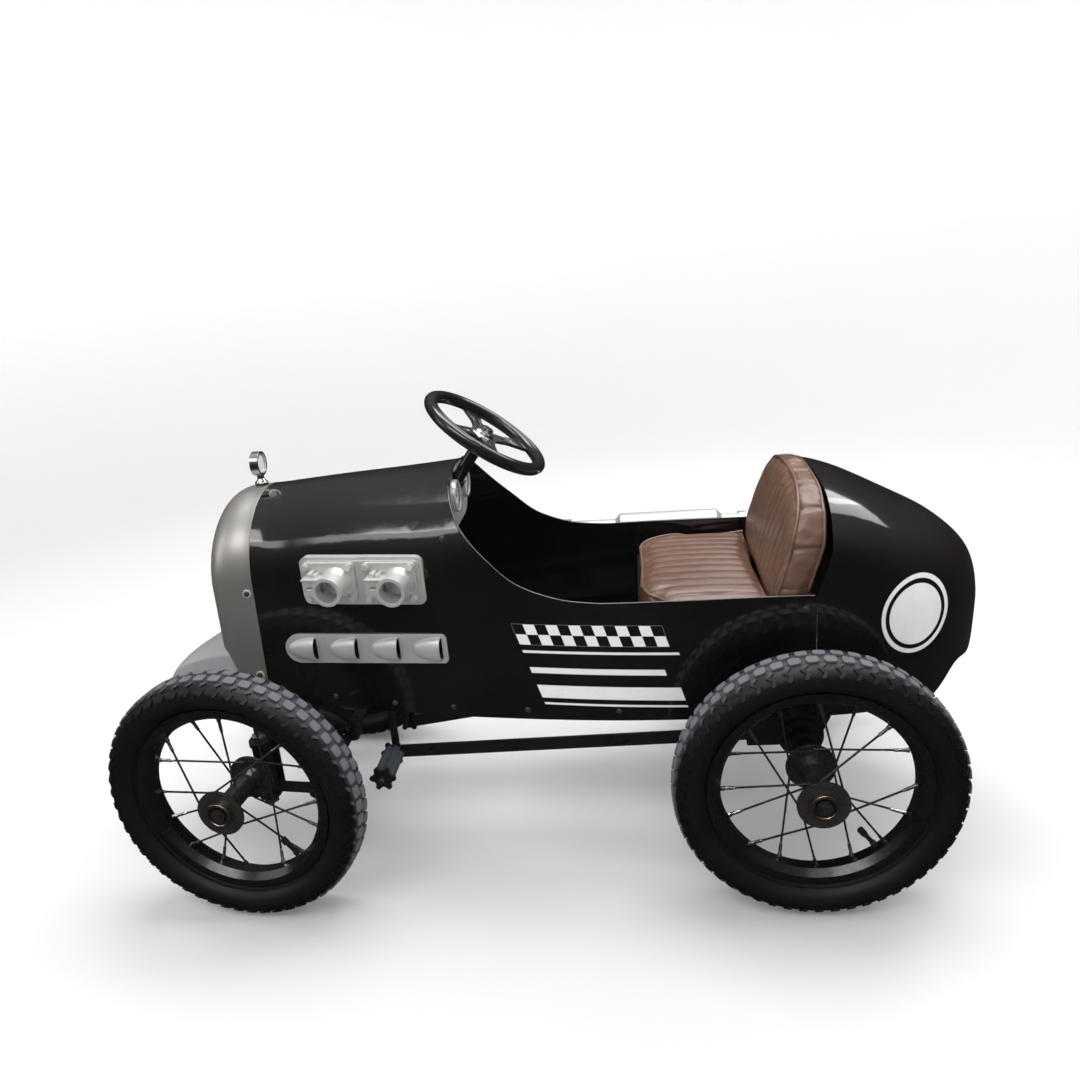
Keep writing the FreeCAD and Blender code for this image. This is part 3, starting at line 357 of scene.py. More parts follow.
# ------------------------------------------------------------------ materials
def band(p, value, low, high, soft=0.0004):
    """1 between low and high, with soft edges."""
    up = p.span(value, low - soft, low + soft)
    down = p.span(value, high + soft, high - soft)
    return p.math("MULTIPLY", up, down)


def gloss_black(name, graphics=None):
    p = Paint(name, IOR=1.5, Coat_Weight=1.0, Coat_Roughness=0.07, Specular_IOR_Level=0.5)
    peel = p.noise(240.0, 2.0, 0.5)
    wave = p.noise(26.0, 3.0, 0.5)
    colour = p.mix(p.span(p.noise(7.0), 0.35, 0.7), (0.0035, 0.0035, 0.004), (0.008, 0.0075, 0.0075))
    rough = p.span(dust(p), 0.1, 0.4, 0.055, 0.16)
    if graphics:
        mask = graphics(p)
        chip = p.span(p.noise(520.0, 4.0, 0.7), 0.30, 0.34)
        mask = p.math("MULTIPLY", mask, chip)
        white = p.mix(p.noise(60.0), (0.70, 0.70, 0.69), (0.80, 0.80, 0.79))
        colour = p.mix(mask, colour, white)
        rough = p.math("ADD", rough, p.math("MULTIPLY", mask, 0.12))
    normal = p.bump(wave, 0.03, 0.003)
    normal = p.bump(peel, 0.02, 0.0003, normal)
    return p.set(Base_Color=colour, Roughness=rough, Normal=normal)


def side_stripes(p):
    """Plain white stripes and a chequer band along each side of the body."""
    x, y, z = p.split()
    level = p.math("SUBTRACT", z, p.math("MULTIPLY", x, 0.030))
    slant = p.math("ADD", x, p.math("MULTIPLY", p.math("SUBTRACT", z, 0.27), -0.30))
    lines = None
    for low, high, start, end in ((0.2860, 0.2890, -0.162, 0.008), (0.2610, 0.2680, -0.140, 0.008),
                                  (0.2300, 0.2460, -0.150, 0.008), (0.2215, 0.2240, -0.150, 0.008)):
        line = p.math("MULTIPLY", band(p, level, low, high), band(p, slant, start, end))
        lines = line if lines is None else p.math("MAXIMUM", lines, line)
    square = 0.0125
    column = p.math("FLOOR", p.math("DIVIDE", p.math("SUBTRACT", slant, 0.008), square))
    row = p.math("FLOOR", p.math("DIVIDE", p.math("SUBTRACT", level, 0.2960), square))
    odd = p.math("ABSOLUTE", p.math("MODULO", p.math("ADD", column, row), 2.0))
    flag = p.math("MULTIPLY", band(p, level, 0.2960, 0.2960 + 2 * square),
                  band(p, slant, 0.008 - 13 * square, 0.008))
    lines = p.math("MAXIMUM", lines, p.math("MULTIPLY", flag, odd))
    return p.math("MULTIPLY", lines, outer_side(p, y, 0.125))


def outer_side(p, y, limit):
    """1 on the skin that faces out to either side, beyond the given half width."""
    normal = p.split(p.node("ShaderNodeNewGeometry").outputs["Normal"])
    facing = p.span(p.math("MULTIPLY", p.math("SIGN", y), normal[1]), 0.05, 0.10)
    return p.math("MULTIPLY", facing, p.span(p.math("ABSOLUTE", y), limit, limit + 0.001))


def tail_roundel(p):
    """A plain white disc with a ring round it on each side of the tail."""
    x, y, z = p.split()
    dx = p.math("SUBTRACT", x, -0.4080)
    dz = p.math("SUBTRACT", z, 0.3120)
    # the disc is laid on a receding side, so x counts for more along the skin
    reach = p.math("SQRT", p.math("ADD", p.math("MULTIPLY", p.math("MULTIPLY", dx, dx), 1.42),
                                  p.math("MULTIPLY", dz, dz)))
    disc = p.span(reach, 0.0352, 0.0346)
    ring = band(p, reach, 0.0400, 0.0450, 0.0003)
    return p.math("MULTIPLY", p.math("MAXIMUM", disc, ring), outer_side(p, y, 0.045))


def frame_black(name, base=0.007, rough=0.30):
    p = Paint(name, IOR=1.5, Specular_IOR_Level=0.45)
    edge, rounded = p.edge_mask(0.0009)
    grime = p.noise(38.0, 5.0, 0.65)
    colour = p.mix(grime, (base, base, base * 1.03), (base * 2.4, base * 2.3, base * 2.2))
    wear = p.math("MULTIPLY", edge, p.span(p.noise(260.0, 4.0), 0.50, 0.62))
    colour = p.mix(p.math("MULTIPLY", wear, 0.5), colour, (0.14, 0.135, 0.13))
    roughness = p.span(grime, 0.3, 0.7, rough - 0.07, rough + 0.1)
    roughness = p.math("ADD", roughness, p.math("MULTIPLY", wear, 0.1))
    normal = p.bump(p.noise(700.0, 2.0), 0.10, 0.0003, rounded)
    return p.set(Base_Color=colour, Roughness=roughness, Normal=normal)


def rim_black(name):
    p = Paint(name, IOR=1.5, Coat_Weight=0.22, Coat_Roughness=0.10)
    colour = p.mix(p.noise(30.0), (0.003, 0.003, 0.003), (0.008, 0.008, 0.008))
    rough = p.span(dust(p), 0.1, 0.4, 0.16, 0.34)
    normal = p.bump(p.noise(500.0, 2.0), 0.05, 0.0003)
    return p.set(Base_Color=colour, Roughness=rough, Normal=normal)


def satin_silver(name, tint=(0.47, 0.455, 0.43), low=0.30, high=0.42, metallic=0.80):
    """Brushed sheet metal with a satin lacquer; low and high bound its roughness."""
    p = Paint(name, Metallic=metallic, IOR=1.5, Coat_Weight=0.12, Coat_Roughness=0.18)
    grain = p.noise(60.0, 6.0, 0.7, p.scaled((1.0, 1.0, 22.0)))
    cloud = p.noise(6.0, 4.0, 0.6)
    speck = p.noise(900.0, 2.0, 0.5)
    dark = tuple(0.82 * c for c in tint)
    colour = p.mix(p.span(cloud, 0.3, 0.7), dark, tint)
    colour = p.mix(p.math("MULTIPLY", grain, 0.22), colour, tuple(min(1.0, 1.25 * c) for c in tint))
    edge, rounded = p.edge_mask(0.0008)
    colour = p.mix(p.math("MULTIPLY", edge, 0.35), colour, (0.75, 0.74, 0.72))
    rough = p.math("ADD", p.span(grain, 0.2, 0.8, low, high), p.math("MULTIPLY", speck, 0.06))
    normal = p.bump(grain, 0.05, 0.0003, rounded)
    return p.set(Base_Color=colour, Roughness=rough, Normal=normal)


def cast_metal(name):
    """Sand-cast, lightly tumbled aluminium."""
    p = Paint(name, Metallic=0.60, IOR=1.6)
    edge, rounded = p.edge_mask(0.0012, 5)
    grain = p.noise(620.0, 5.0, 0.65)
    pits = p.span(p.cells(430.0), 0.10, 0.34)
    cloud = p.noise(22.0, 4.0, 0.6)
    colour = p.mix(cloud, (0.56, 0.55, 0.53), (0.70, 0.69, 0.67))
    colour = p.mix(p.math("MULTIPLY", p.math("SUBTRACT", 1.0, pits), 0.18), colour, (0.34, 0.33, 0.315))
    colour = p.mix(p.math("MULTIPLY", edge, 0.5), colour, (0.86, 0.85, 0.83))
    rough = p.math("SUBTRACT", p.span(grain, 0.3, 0.7, 0.38, 0.52), p.math("MULTIPLY", edge, 0.12))
    normal = p.bump(grain, 0.09, 0.0003, rounded)
    normal = p.bump(pits, 0.05, 0.0002, normal)
    return p.set(Base_Color=colour, Roughness=rough, Normal=normal)


def polished(name, tint=(0.72, 0.71, 0.70), low=0.10, high=0.24):
    p = Paint(name, Metallic=1.0)
    edge, rounded = p.edge_mask(0.0007)
    scratch = p.noise(90.0, 5.0, 0.7, p.scaled((1.0, 14.0, 1.0)))
    smear = p.noise(25.0, 4.0, 0.6)
    colour = p.mix(smear, tuple(0.86 * c for c in tint), tint)
    colour = p.mix(p.math("MULTIPLY", edge, 0.3), colour, (0.9, 0.9, 0.89))
    blend = p.math("ADD", p.math("MULTIPLY", scratch, 0.6), p.math("MULTIPLY", smear, 0.4))
    rough = p.span(blend, 0.3, 0.7, low, high)
    normal = p.bump(scratch, 0.04, 0.0002, rounded)
    return p.set(Base_Color=colour, Roughness=rough, Normal=normal)


def tyre_rubber(name, centre, axis):
    """Black rubber, dusty and greyer where the tread meets the road."""
    p = Paint(name, IOR=1.5, Specular_IOR_Level=0.30)
    subtract = p.node("ShaderNodeVectorMath", operation="SUBTRACT")
    p.put(subtract, 0, p.where)
    p.put(subtract, 1, tuple(centre))
    cross = p.node("ShaderNodeVectorMath", operation="CROSS_PRODUCT")
    p.put(cross, 0, subtract.outputs[0])
    p.put(cross, 1, tuple(axis))
    length = p.node("ShaderNodeVectorMath", operation="LENGTH")
    p.put(length, 0, cross.outputs[0])
    radius = length.outputs["Value"]
    tread = p.span(radius, 0.1478, 0.1516)
    mottle = p.noise(120.0, 5.0, 0.65)
    broad = p.noise(14.0, 4.0, 0.6)
    black = p.mix(broad, (0.0035, 0.0035, 0.0036), (0.0075, 0.0073, 0.0072))
    grey = p.mix(mottle, (0.115, 0.118, 0.130), (0.205, 0.208, 0.226))
    colour = p.mix(p.math("MULTIPLY", tread, 0.8), black, grey)
    brown = p.span(radius, 0.128, 0.116)
    colour = p.mix(p.math("MULTIPLY", p.math("MULTIPLY", brown, broad), 0.5), colour, (0.020, 0.015, 0.012))
    rough = p.math("ADD", p.span(mottle, 0.3, 0.7, 0.42, 0.56), p.math("MULTIPLY", tread, 0.10))
    normal = p.bump(p.noise(900.0, 3.0, 0.6), 0.14, 0.0003)
    normal = p.bump(broad, 0.10, 0.002, normal)
    return p.set(Base_Color=colour, Roughness=rough, Normal=normal)


def pedal_rubber(name):
    p = Paint(name, IOR=1.5, Specular_IOR_Level=0.5)
    mottle = p.noise(160.0, 5.0, 0.6)
    edge, rounded = p.edge_mask(0.0007)
    colour = p.mix(mottle, (0.045, 0.052, 0.066), (0.085, 0.095, 0.118))
    colour = p.mix(p.math("MULTIPLY", edge, 0.4), colour, (0.16, 0.17, 0.20))
    normal = p.bump(p.noise(800.0, 3.0), 0.12, 0.0003, rounded)
    return p.set(Base_Color=colour, Roughness=p.span(mottle, 0.3, 0.7, 0.34, 0.5), Normal=normal)


def leather(name, seam_pitch=None, darts=False):
    """Brown leatherette: fine pebble, creases darkened with painted shade, rubbed spots, sewn channels and
    darts.
    """
    p = Paint(name, IOR=1.5, Specular_IOR_Level=0.6)
    pebble = p.cells(1500.0)
    crease = p.cells(330.0, "DISTANCE_TO_EDGE")
    cloud = p.noise(11.0, 5.0, 0.6)
    fine = p.noise(85.0, 4.0, 0.6)
    colour = p.mix(p.span(cloud, 0.3, 0.72), (0.100, 0.051, 0.032), (0.160, 0.087, 0.057))
    colour = p.mix(p.math("MULTIPLY", p.span(fine, 0.45, 0.75), 0.45), colour, (0.215, 0.128, 0.090))
    # darker along the crease lines: painted shade in the creases
    colour = p.mix(p.span(crease, 0.10, 0.0, 0.0, 0.22), colour, (0.10, 0.052, 0.038))
    height = p.math("MULTIPLY", p.span(crease, 0.0, 0.14), 0.6)
    height = p.math("ADD", p.math("MULTIPLY", pebble, 0.5), height)
    if seam_pitch:
        axes = p.split()
        phase = p.math("FRACT", p.math("SUBTRACT", p.math("DIVIDE", axes[1], seam_pitch), 0.5))
        away = p.math("MINIMUM", phase, p.math("SUBTRACT", 1.0, phase))
        seam = p.span(away, 0.08, 0.0)
        if darts:
            # on the side band the lines run across it instead
            normal = p.split(p.node("ShaderNodeNewGeometry").outputs["Normal"])
            front = p.span(p.math("ADD", normal[0], p.math("MULTIPLY", normal[2], 0.35)), 0.40, 0.60)
            turn = p.math("ARCTAN2", p.math("SUBTRACT", axes[2], 0.340), p.math("ABSOLUTE", axes[1]))
            count = p.math("MULTIPLY", turn, DART_RATE / math.pi)
            step = p.math("FRACT", p.math("ADD", count, 1.0 - DART_SHIFT))
            away = p.math("MINIMUM", step, p.math("SUBTRACT", 1.0, step))
            dart = p.math("MULTIPLY", p.span(away, 0.022, 0.006), p.math("SUBTRACT", 1.0, front))
            seam = p.math("MAXIMUM", p.math("MULTIPLY", seam, front), dart)
        colour = p.mix(p.math("MULTIPLY", seam, 0.70), colour, (0.045, 0.022, 0.016))
    blend = p.math("ADD", p.math("MULTIPLY", fine, 0.5), p.math("MULTIPLY", cloud, 0.5))
    rough = p.span(blend, 0.3, 0.7, 0.27, 0.40)
    normal = p.bump(height, 0.22, 0.0004)
    normal = p.bump(fine, 0.10, 0.001, normal)
    return p.set(Base_Color=colour, Roughness=rough, Normal=normal)


def wheel_plastic(name):
    p = Paint(name, IOR=1.5, Coat_Weight=0.4, Coat_Roughness=0.08)
    smear = p.noise(45.0, 4.0, 0.6)
    colour = p.mix(smear, (0.006, 0.006, 0.0065), (0.013, 0.013, 0.0135))
    normal = p.bump(p.noise(300.0, 3.0), 0.05, 0.0004)
    return p.set(Base_Color=colour, Roughness=p.span(smear, 0.3, 0.7, 0.10, 0.24), Normal=normal)


def matte_floor():
    """Pale matt paint; the wall glows faintly with height so the backdrop reads white."""
    p = Paint("floor_white", Specular_IOR_Level=0.1)
    soft = p.noise(2.0, 2.0)
    colour = p.mix(soft, (0.640, 0.640, 0.642), (0.655, 0.655, 0.657))
    height = p.split()[2]
    p.set(Base_Color=colour, Roughness=0.9, Emission_Color=(1.0, 1.0, 1.0))
    p.put(p.shader, "Emission Strength", p.span(height, 0.02, 0.8, 0.05, 0.37))
    return p


# ------------------------------------------------------------------ stage
def add_stage():
    """A pale floor that curves up into a wall all round, a dim sky and the lamps."""
    rows = [(STAGE_FLAT_RADIUS, 0.0)]
    for a in np.linspace(0.08, 1.5707, 14):
        rows.append((STAGE_FLAT_RADIUS + STAGE_CURVE * math.sin(a), STAGE_CURVE * (1.0 - math.cos(a))))
    rows.append((STAGE_FLAT_RADIUS + STAGE_CURVE, STAGE_TOP))
    count = 96
    verts, faces = [(0.0, 0.0, 0.0)], []
    for r, z in rows:
        for k in range(count):
            a = 2.0 * math.pi * k / count
            verts.append((r * math.cos(a), r * math.sin(a), z))
    for k in range(count):
        k2 = (k + 1) % count
        faces.append((0, 1 + k, 1 + k2))
        for j in range(len(rows) - 1):
            a, b = 1 + j * count, 1 + (j + 1) * count
            faces.append((a + k, b + k, b + k2, a + k2))
    floor = mesh_object("stage_floor", verts, faces)
    dress(floor, matte_floor())
    floor.visible_glossy = False

    world = bpy.data.worlds.new("studio")
    SCENE.world = world
    world.use_nodes = True
    tree = world.node_tree
    tree.nodes.clear()
    out = tree.nodes.new("ShaderNodeOutputWorld")
    back = tree.nodes.new("ShaderNodeBackground")
    coords = tree.nodes.new("ShaderNodeTexCoord")
    parts = tree.nodes.new("ShaderNodeSeparateXYZ")
    ramp = tree.nodes.new("ShaderNodeValToRGB")
    tree.links.new(coords.outputs["Generated"], parts.inputs[0])
    tree.links.new(parts.outputs[2], ramp.inputs[0])
    tree.links.new(ramp.outputs[0], back.inputs[0])
    tree.links.new(back.outputs[0], out.inputs[0])
    back.inputs[1].default_value = 0.48
    steps = ramp.color_ramp.elements
    steps[0].position, steps[0].color = 0.0, (0.060, 0.052, 0.046, 1.0)
    steps[1].position, steps[1].color = 1.0, (0.80, 0.81, 0.85, 1.0)
    middle = steps.new(0.30)
    middle.color = (0.15, 0.14, 0.135, 1.0)
    higher = steps.new(0.62)
    higher.color = (0.42, 0.42, 0.44, 1.0)

    def lamp(name, place, size, energy, aim, roll=0.0):
        data = bpy.data.lights.new(name, "AREA")
        data.shape = "RECTANGLE"
        data.size, data.size_y = size
        data.energy = energy
        obj = bpy.data.objects.new(name, data)
        SCENE.collection.objects.link(obj)
        direction = Vector(aim) - Vector(place)
        turn = direction.to_track_quat("-Z", "Y").to_matrix().to_4x4() @ Matrix.Rotation(roll, 4, "Z")
        obj.matrix_world = Matrix.Translation(place) @ turn

    lamp("key", (0.6, 1.5, 2.3), (1.5, 0.7), 13.0, (0.0, 0.0, 0.3))
    lamp("top", (-0.1, -0.3, 2.6), (2.2, 1.1), 52.0, (0.0, 0.0, 0.0))
    lamp("back", (-1.0, -1.6, 2.0), (1.6, 0.8), 13.0, (0.0, 0.0, 0.3))
    lamp("nose", (1.9, 0.5, 1.1), (0.8, 1.0), 3.5, (0.2, 0.0, 0.3))
    lamp("strip", (0.2, 1.0, 1.45), (2.0, 0.22), 3.2, (0.1, 0.05, 0.45), roll=0.14)
    lamp("tail", (-1.55, -0.8, 2.05), (1.0, 1.3), 11.0, (-0.38, 0.04, 0.42))


# ------------------------------------------------------------------ wheel places
def wheel_place(name):
    """Gives a map from wheel points (x ahead, y outboard, z up), the hub's centre and its axis."""
    low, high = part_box("tyre_" + name)
    centre = (low + high) / 2.0
    joint = next(j for j in frame["joints"] if j["child"] == WHEEL_BODY[name])
    axis = Vector(joint["axis"]).normalized()
    side = 1.0 if "left" in name else -1.0
    outward = axis * side
    up = Vector((0.0, 0.0, 1.0))
    ahead = Vector((axis.y, -axis.x, 0.0))

    def place(point):
        return centre + ahead * point.x + outward * point.y + up * point.z
    return place, centre, axis


def tyre_profile():
    """Half of the casing's outer line, (y, r) in metres, from the crown to the bead."""
    pts = [(0.0, 149.7), (6.0, 149.6), (12.0, 148.8), (17.5, 147.0), (21.6, 144.3), (24.4, 140.8),
           (25.9, 136.8), (26.3, 132.4), (25.4, 128.0), (23.2, 124.4), (20.2, 121.6), (17.2, 119.5)]
    line = smooth_line(pts, 4)
    ridge = [(15.9, 119.3), (15.2, 120.0), (14.2, 119.9), (13.4, 118.6), (12.3, 117.6), (11.3, 116.6),
             (11.3, 109.6)]
    return [(float(a) * MM, float(b) * MM) for a, b in list(line) + ridge]


def tread_surface(half):
    """Maps (u, v, h) on the tread to the wheel: u across, v around in metres at the crown, h outward."""
    line = np.array([(y, r) for y, r in half[:34]])
    steps = np.r_[0.0, np.cumsum(np.hypot(*np.diff(line, axis=0).T))]

    def surface(u, v, h):
        a = abs(u)
        y = float(np.interp(a, steps, line[:, 0]))
        r = float(np.interp(a, steps, line[:, 1]))
        y2 = float(np.interp(a + 0.0004, steps, line[:, 0]))
        r2 = float(np.interp(a + 0.0004, steps, line[:, 1]))
        ty, tr = y2 - y, r2 - r
        length = math.hypot(ty, tr) or 1.0
        ny, nr = -tr / length, ty / length
        s = math.copysign(1.0, u) if u else 1.0
        y, r = s * (y + ny * h), r + nr * h
        angle = v / TYRE_RADIUS
        return Vector((r * math.cos(angle), y, r * math.sin(angle)))
    return surface


def rounded_square(cu, cv, wide, tall, corner):
    pts = []
    for sx, sy, start in ((1, 1, 0), (-1, 1, 90), (-1, -1, 180), (1, -1, 270)):
        for k in range(3):
            a = math.radians(start + 45 * k)
            pts.append((cu + sx * (wide / 2 - corner) + corner * math.cos(a),
                        cv + sy * (tall / 2 - corner) + corner * math.sin(a)))
    return pts


def build_tyre(name):
    """A casing with staggered centre blocks, zigzag side lugs and small shoulder studs."""
    place, centre, axis = wheel_place(name)
    half = tyre_profile()
    inner = [(8.3, 109.6), (8.3, 118.0), (14.5, 121.8), (20.5, 126.0), (22.6, 131.0), (22.8, 136.0),
             (20.8, 140.6), (16.0, 144.6), (8.0, 146.6), (0.0, 147.0)]
    inner = [(y * MM, r * MM) for y, r in inner]
    ring = [(-y, r) for y, r in reversed(half[1:])] + half + inner
    ring += [(-y, r) for y, r in reversed(inner[:-1])]
    b = Build()
    b.lathe(ring, place, 160)
    surface = tread_surface(half)
    pitch = 2.0 * math.pi * TYRE_RADIUS / TREAD_PITCHES

    def put(u, v, h):
        return place(surface(u, v, h - TREAD_SINK))

    for k in range(TREAD_PITCHES):
        v0 = k * pitch
        for side in (-1.0, 1.0):
            shift = 0.0 if side > 0 else 0.5 * pitch
            block = rounded_square(side * 0.0068, v0 + shift, 0.0104, 0.0124, 0.0022)
            b.prism(block, 0.0036, put, 0.0009, 0.03)
            centre_line = [(0.0138, 0.0014), (0.0186, -0.0034), (0.0238, 0.0022), (0.0288, -0.0008)]
            width = (0.0024, 0.0026, 0.0025, 0.0021)
            ahead = [(u, v + w) for (u, v), w in zip(centre_line, width)]
            behind = [(u, v - w) for (u, v), w in zip(centre_line, width)]
            lug = ahead + list(reversed(behind))
            lug = [(side * u, v0 + shift + 0.5 * pitch + v) for u, v in lug]
            if side < 0:
                lug = list(reversed(lug))
            b.prism(lug, 0.0024, put, 0.0006, 0.03)
            small = rounded_square(side * 0.0300, v0 + shift, 0.0050, 0.0054, 0.0011)
            b.prism(small, 0.0016, put, 0.0004, 0.05)
    obj = b.object("tyre_detail_" + name, True, 32.0)
    dress(obj, tyre_rubber("tyre_rubber_" + name, centre, axis))
    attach(obj, WHEEL_BODY[name])
    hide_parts("tyre_" + name)


def build_wheel_trim(name, silver, race_steel, dark):
    """Spoke nipples, valve, bearing race and seal of one wheel."""
    place = wheel_place(name)[0]
    body = WHEEL_BODY[name]
    nipples = Build()
    for k in range(SPOKES):
        flange = 1.0 if k % 2 == 0 else -1.0
        lean = 1.0 if (k // 2) % 2 == 0 else -1.0
        at_rim = 2.0 * math.pi * k / SPOKES
        at_hub = at_rim + lean * math.radians(SPOKE_SWEEP_DEG)
        hub_y = flange * (34.7 - 2.8 - 3.8 * (1.0 + lean) / 2.0) * MM
        inner = Vector((0.0235 * math.cos(at_hub), hub_y, 0.0235 * math.sin(at_hub)))
        outer = Vector((0.1004 * math.cos(at_rim), flange * 0.003, 0.1004 * math.sin(at_rim)))
        run = (outer - inner).normalized()
        path = [place(outer - run * d) for d in (0.0165, 0.0160, 0.0125, 0.0045, 0.0035, -0.0002)]
        nipples.tube(path, (0.0012, 0.0016, 0.0019, 0.0019, 0.0025, 0.0027), 8)
    obj = dress(nipples.object("spoke_nipples_" + name), silver)
    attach(obj, body)

    race = Build()
    ring = [(36.2, 14.75), (40.9, 14.75), (41.25, 14.4), (41.25, 12.2), (40.7, 11.7), (40.3, 11.55),
            (36.2, 11.5)]
    race.lathe([(y * MM, r * MM) for y, r in ring], place, 64)
    obj = dress(race.object("bearing_race_" + name), race_steel)
    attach(obj, body)

    seal = Build()
    disc = [(36.25, 11.5), (38.6, 11.4), (38.9, 10.9), (38.7, 9.4), (38.2, 9.0), (36.25, 9.0)]
    seal.lathe([(y * MM, r * MM) for y, r in disc], place, 48)
    obj = dress(seal.object("bearing_seal_" + name), dark)
    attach(obj, body)

    valve = Build()
    a = math.radians(231.0)
    for r0, r1, thick in ((0.0985, 0.0930, 0.0036), (0.0932, 0.0800, 0.0026), (0.0802, 0.0722, 0.0038)):
        path = [place(Vector((r * math.cos(a), 0.0, r * math.sin(a)))) for r in np.linspace(r0, r1, 4)]
        valve.tube(path, thick, 12)
    obj = dress(valve.object("valve_" + name), dark)
    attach(obj, body)


# ------------------------------------------------------------------ cockpit edge and screws
def cockpit_edge(paint):
    """Rolled edge along the cockpit opening, from one tail seam over the cowl to the other."""
    tree = bvh_of(NODES["body_shell"].data)
    rise = smooth_line([(-0.075, 0.3440), (-0.030, 0.3500), (0.015, 0.3680), (0.047, 0.3970), (0.070, 0.4230),
                        (0.084, 0.4470), (0.092, 0.4700)], 8)
    rear = [(x, 0.344) for x in np.linspace(-0.3005, -0.080, 24)]
    points = []
    for x, z in rear + [(float(a), float(b)) for a, b in rise]:
        hit = tree.ray_cast(Vector((x + 0.0006, 0.3, z - 0.0012)), Vector((0, -1, 0)))[0]
        if hit is None or hit.y < 0.02:
            break
        points.append(Vector((x, hit.y - 0.0007, z)))
    last = points[-1]
    for y in np.linspace(last.y, 0.0, 12)[1:]:
        hit = tree.ray_cast(Vector((0.0935, y, 0.6)), Vector((0, 0, -1)))[0]
        if hit is not None:
            points.append(Vector((0.0925, y, hit.z - 0.0007)))
    other = [Vector((p.x, -p.y, p.z)) for p in reversed(points[:-1])]
    path = points + other
    b = Build()
    b.tube(path, 0.00135, 10)
    obj = dress(b.object("cockpit_edge", True, 50.0), paint)
    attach(obj, "chassis")


def radiator_screws(paint, bright):
    tree = bvh_of(NODES["radiator_shell"].data)
    washers, heads = Build(), Build()
    washer = [(-0.0002, 0.0001), (-0.0002, 0.0052), (0.0006, 0.0050), (0.0009, 0.0040), (0.0010, 0.0001)]
    head = [(0.0008, 0.0001), (0.0008, 0.0035), (0.0018, 0.0033), (0.0026, 0.0024), (0.0028, 0.0013),
            (0.0021, 0.0010), (0.0020, 0.0001)]
    spots = [(0.3332, 0.3578), (0.3338, 0.2560)]
    for x, z in spots:
        for side in (1.0, -1.0):
            hit, normal, _, _ = tree.ray_cast(Vector((x, 0.3 * side, z)), Vector((0, -side, 0)))
            if hit is None:
                continue
            normal = normal if normal.y * side > 0 else -normal
            ahead = Vector((0, 0, 1)).cross(normal).normalized()
            up = normal.cross(ahead)

            def place(point, hit=hit, ahead=ahead, up=up, normal=normal):
                return hit + ahead * point.x + normal * point.y + up * point.z
            washers.lathe(washer, place, 24)
            heads.lathe(head, place, 24)
    obj = dress(heads.object("radiator_screws"), paint)
    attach(obj, "chassis")
    obj = dress(washers.object("radiator_washers"), bright)
    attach(obj, "chassis")


# ------------------------------------------------------------------ gauges
def dial_paint(name):
    face = Paint(name, IOR=1.45, Coat_Weight=0.5, Coat_Roughness=0.05)
    colour = face.mix(face.noise(180.0), (0.70, 0.70, 0.68), (0.82, 0.82, 0.80))
    return face.set(Base_Color=colour, Roughness=face.span(face.noise(60.0), 0.3, 0.7, 0.35, 0.5))


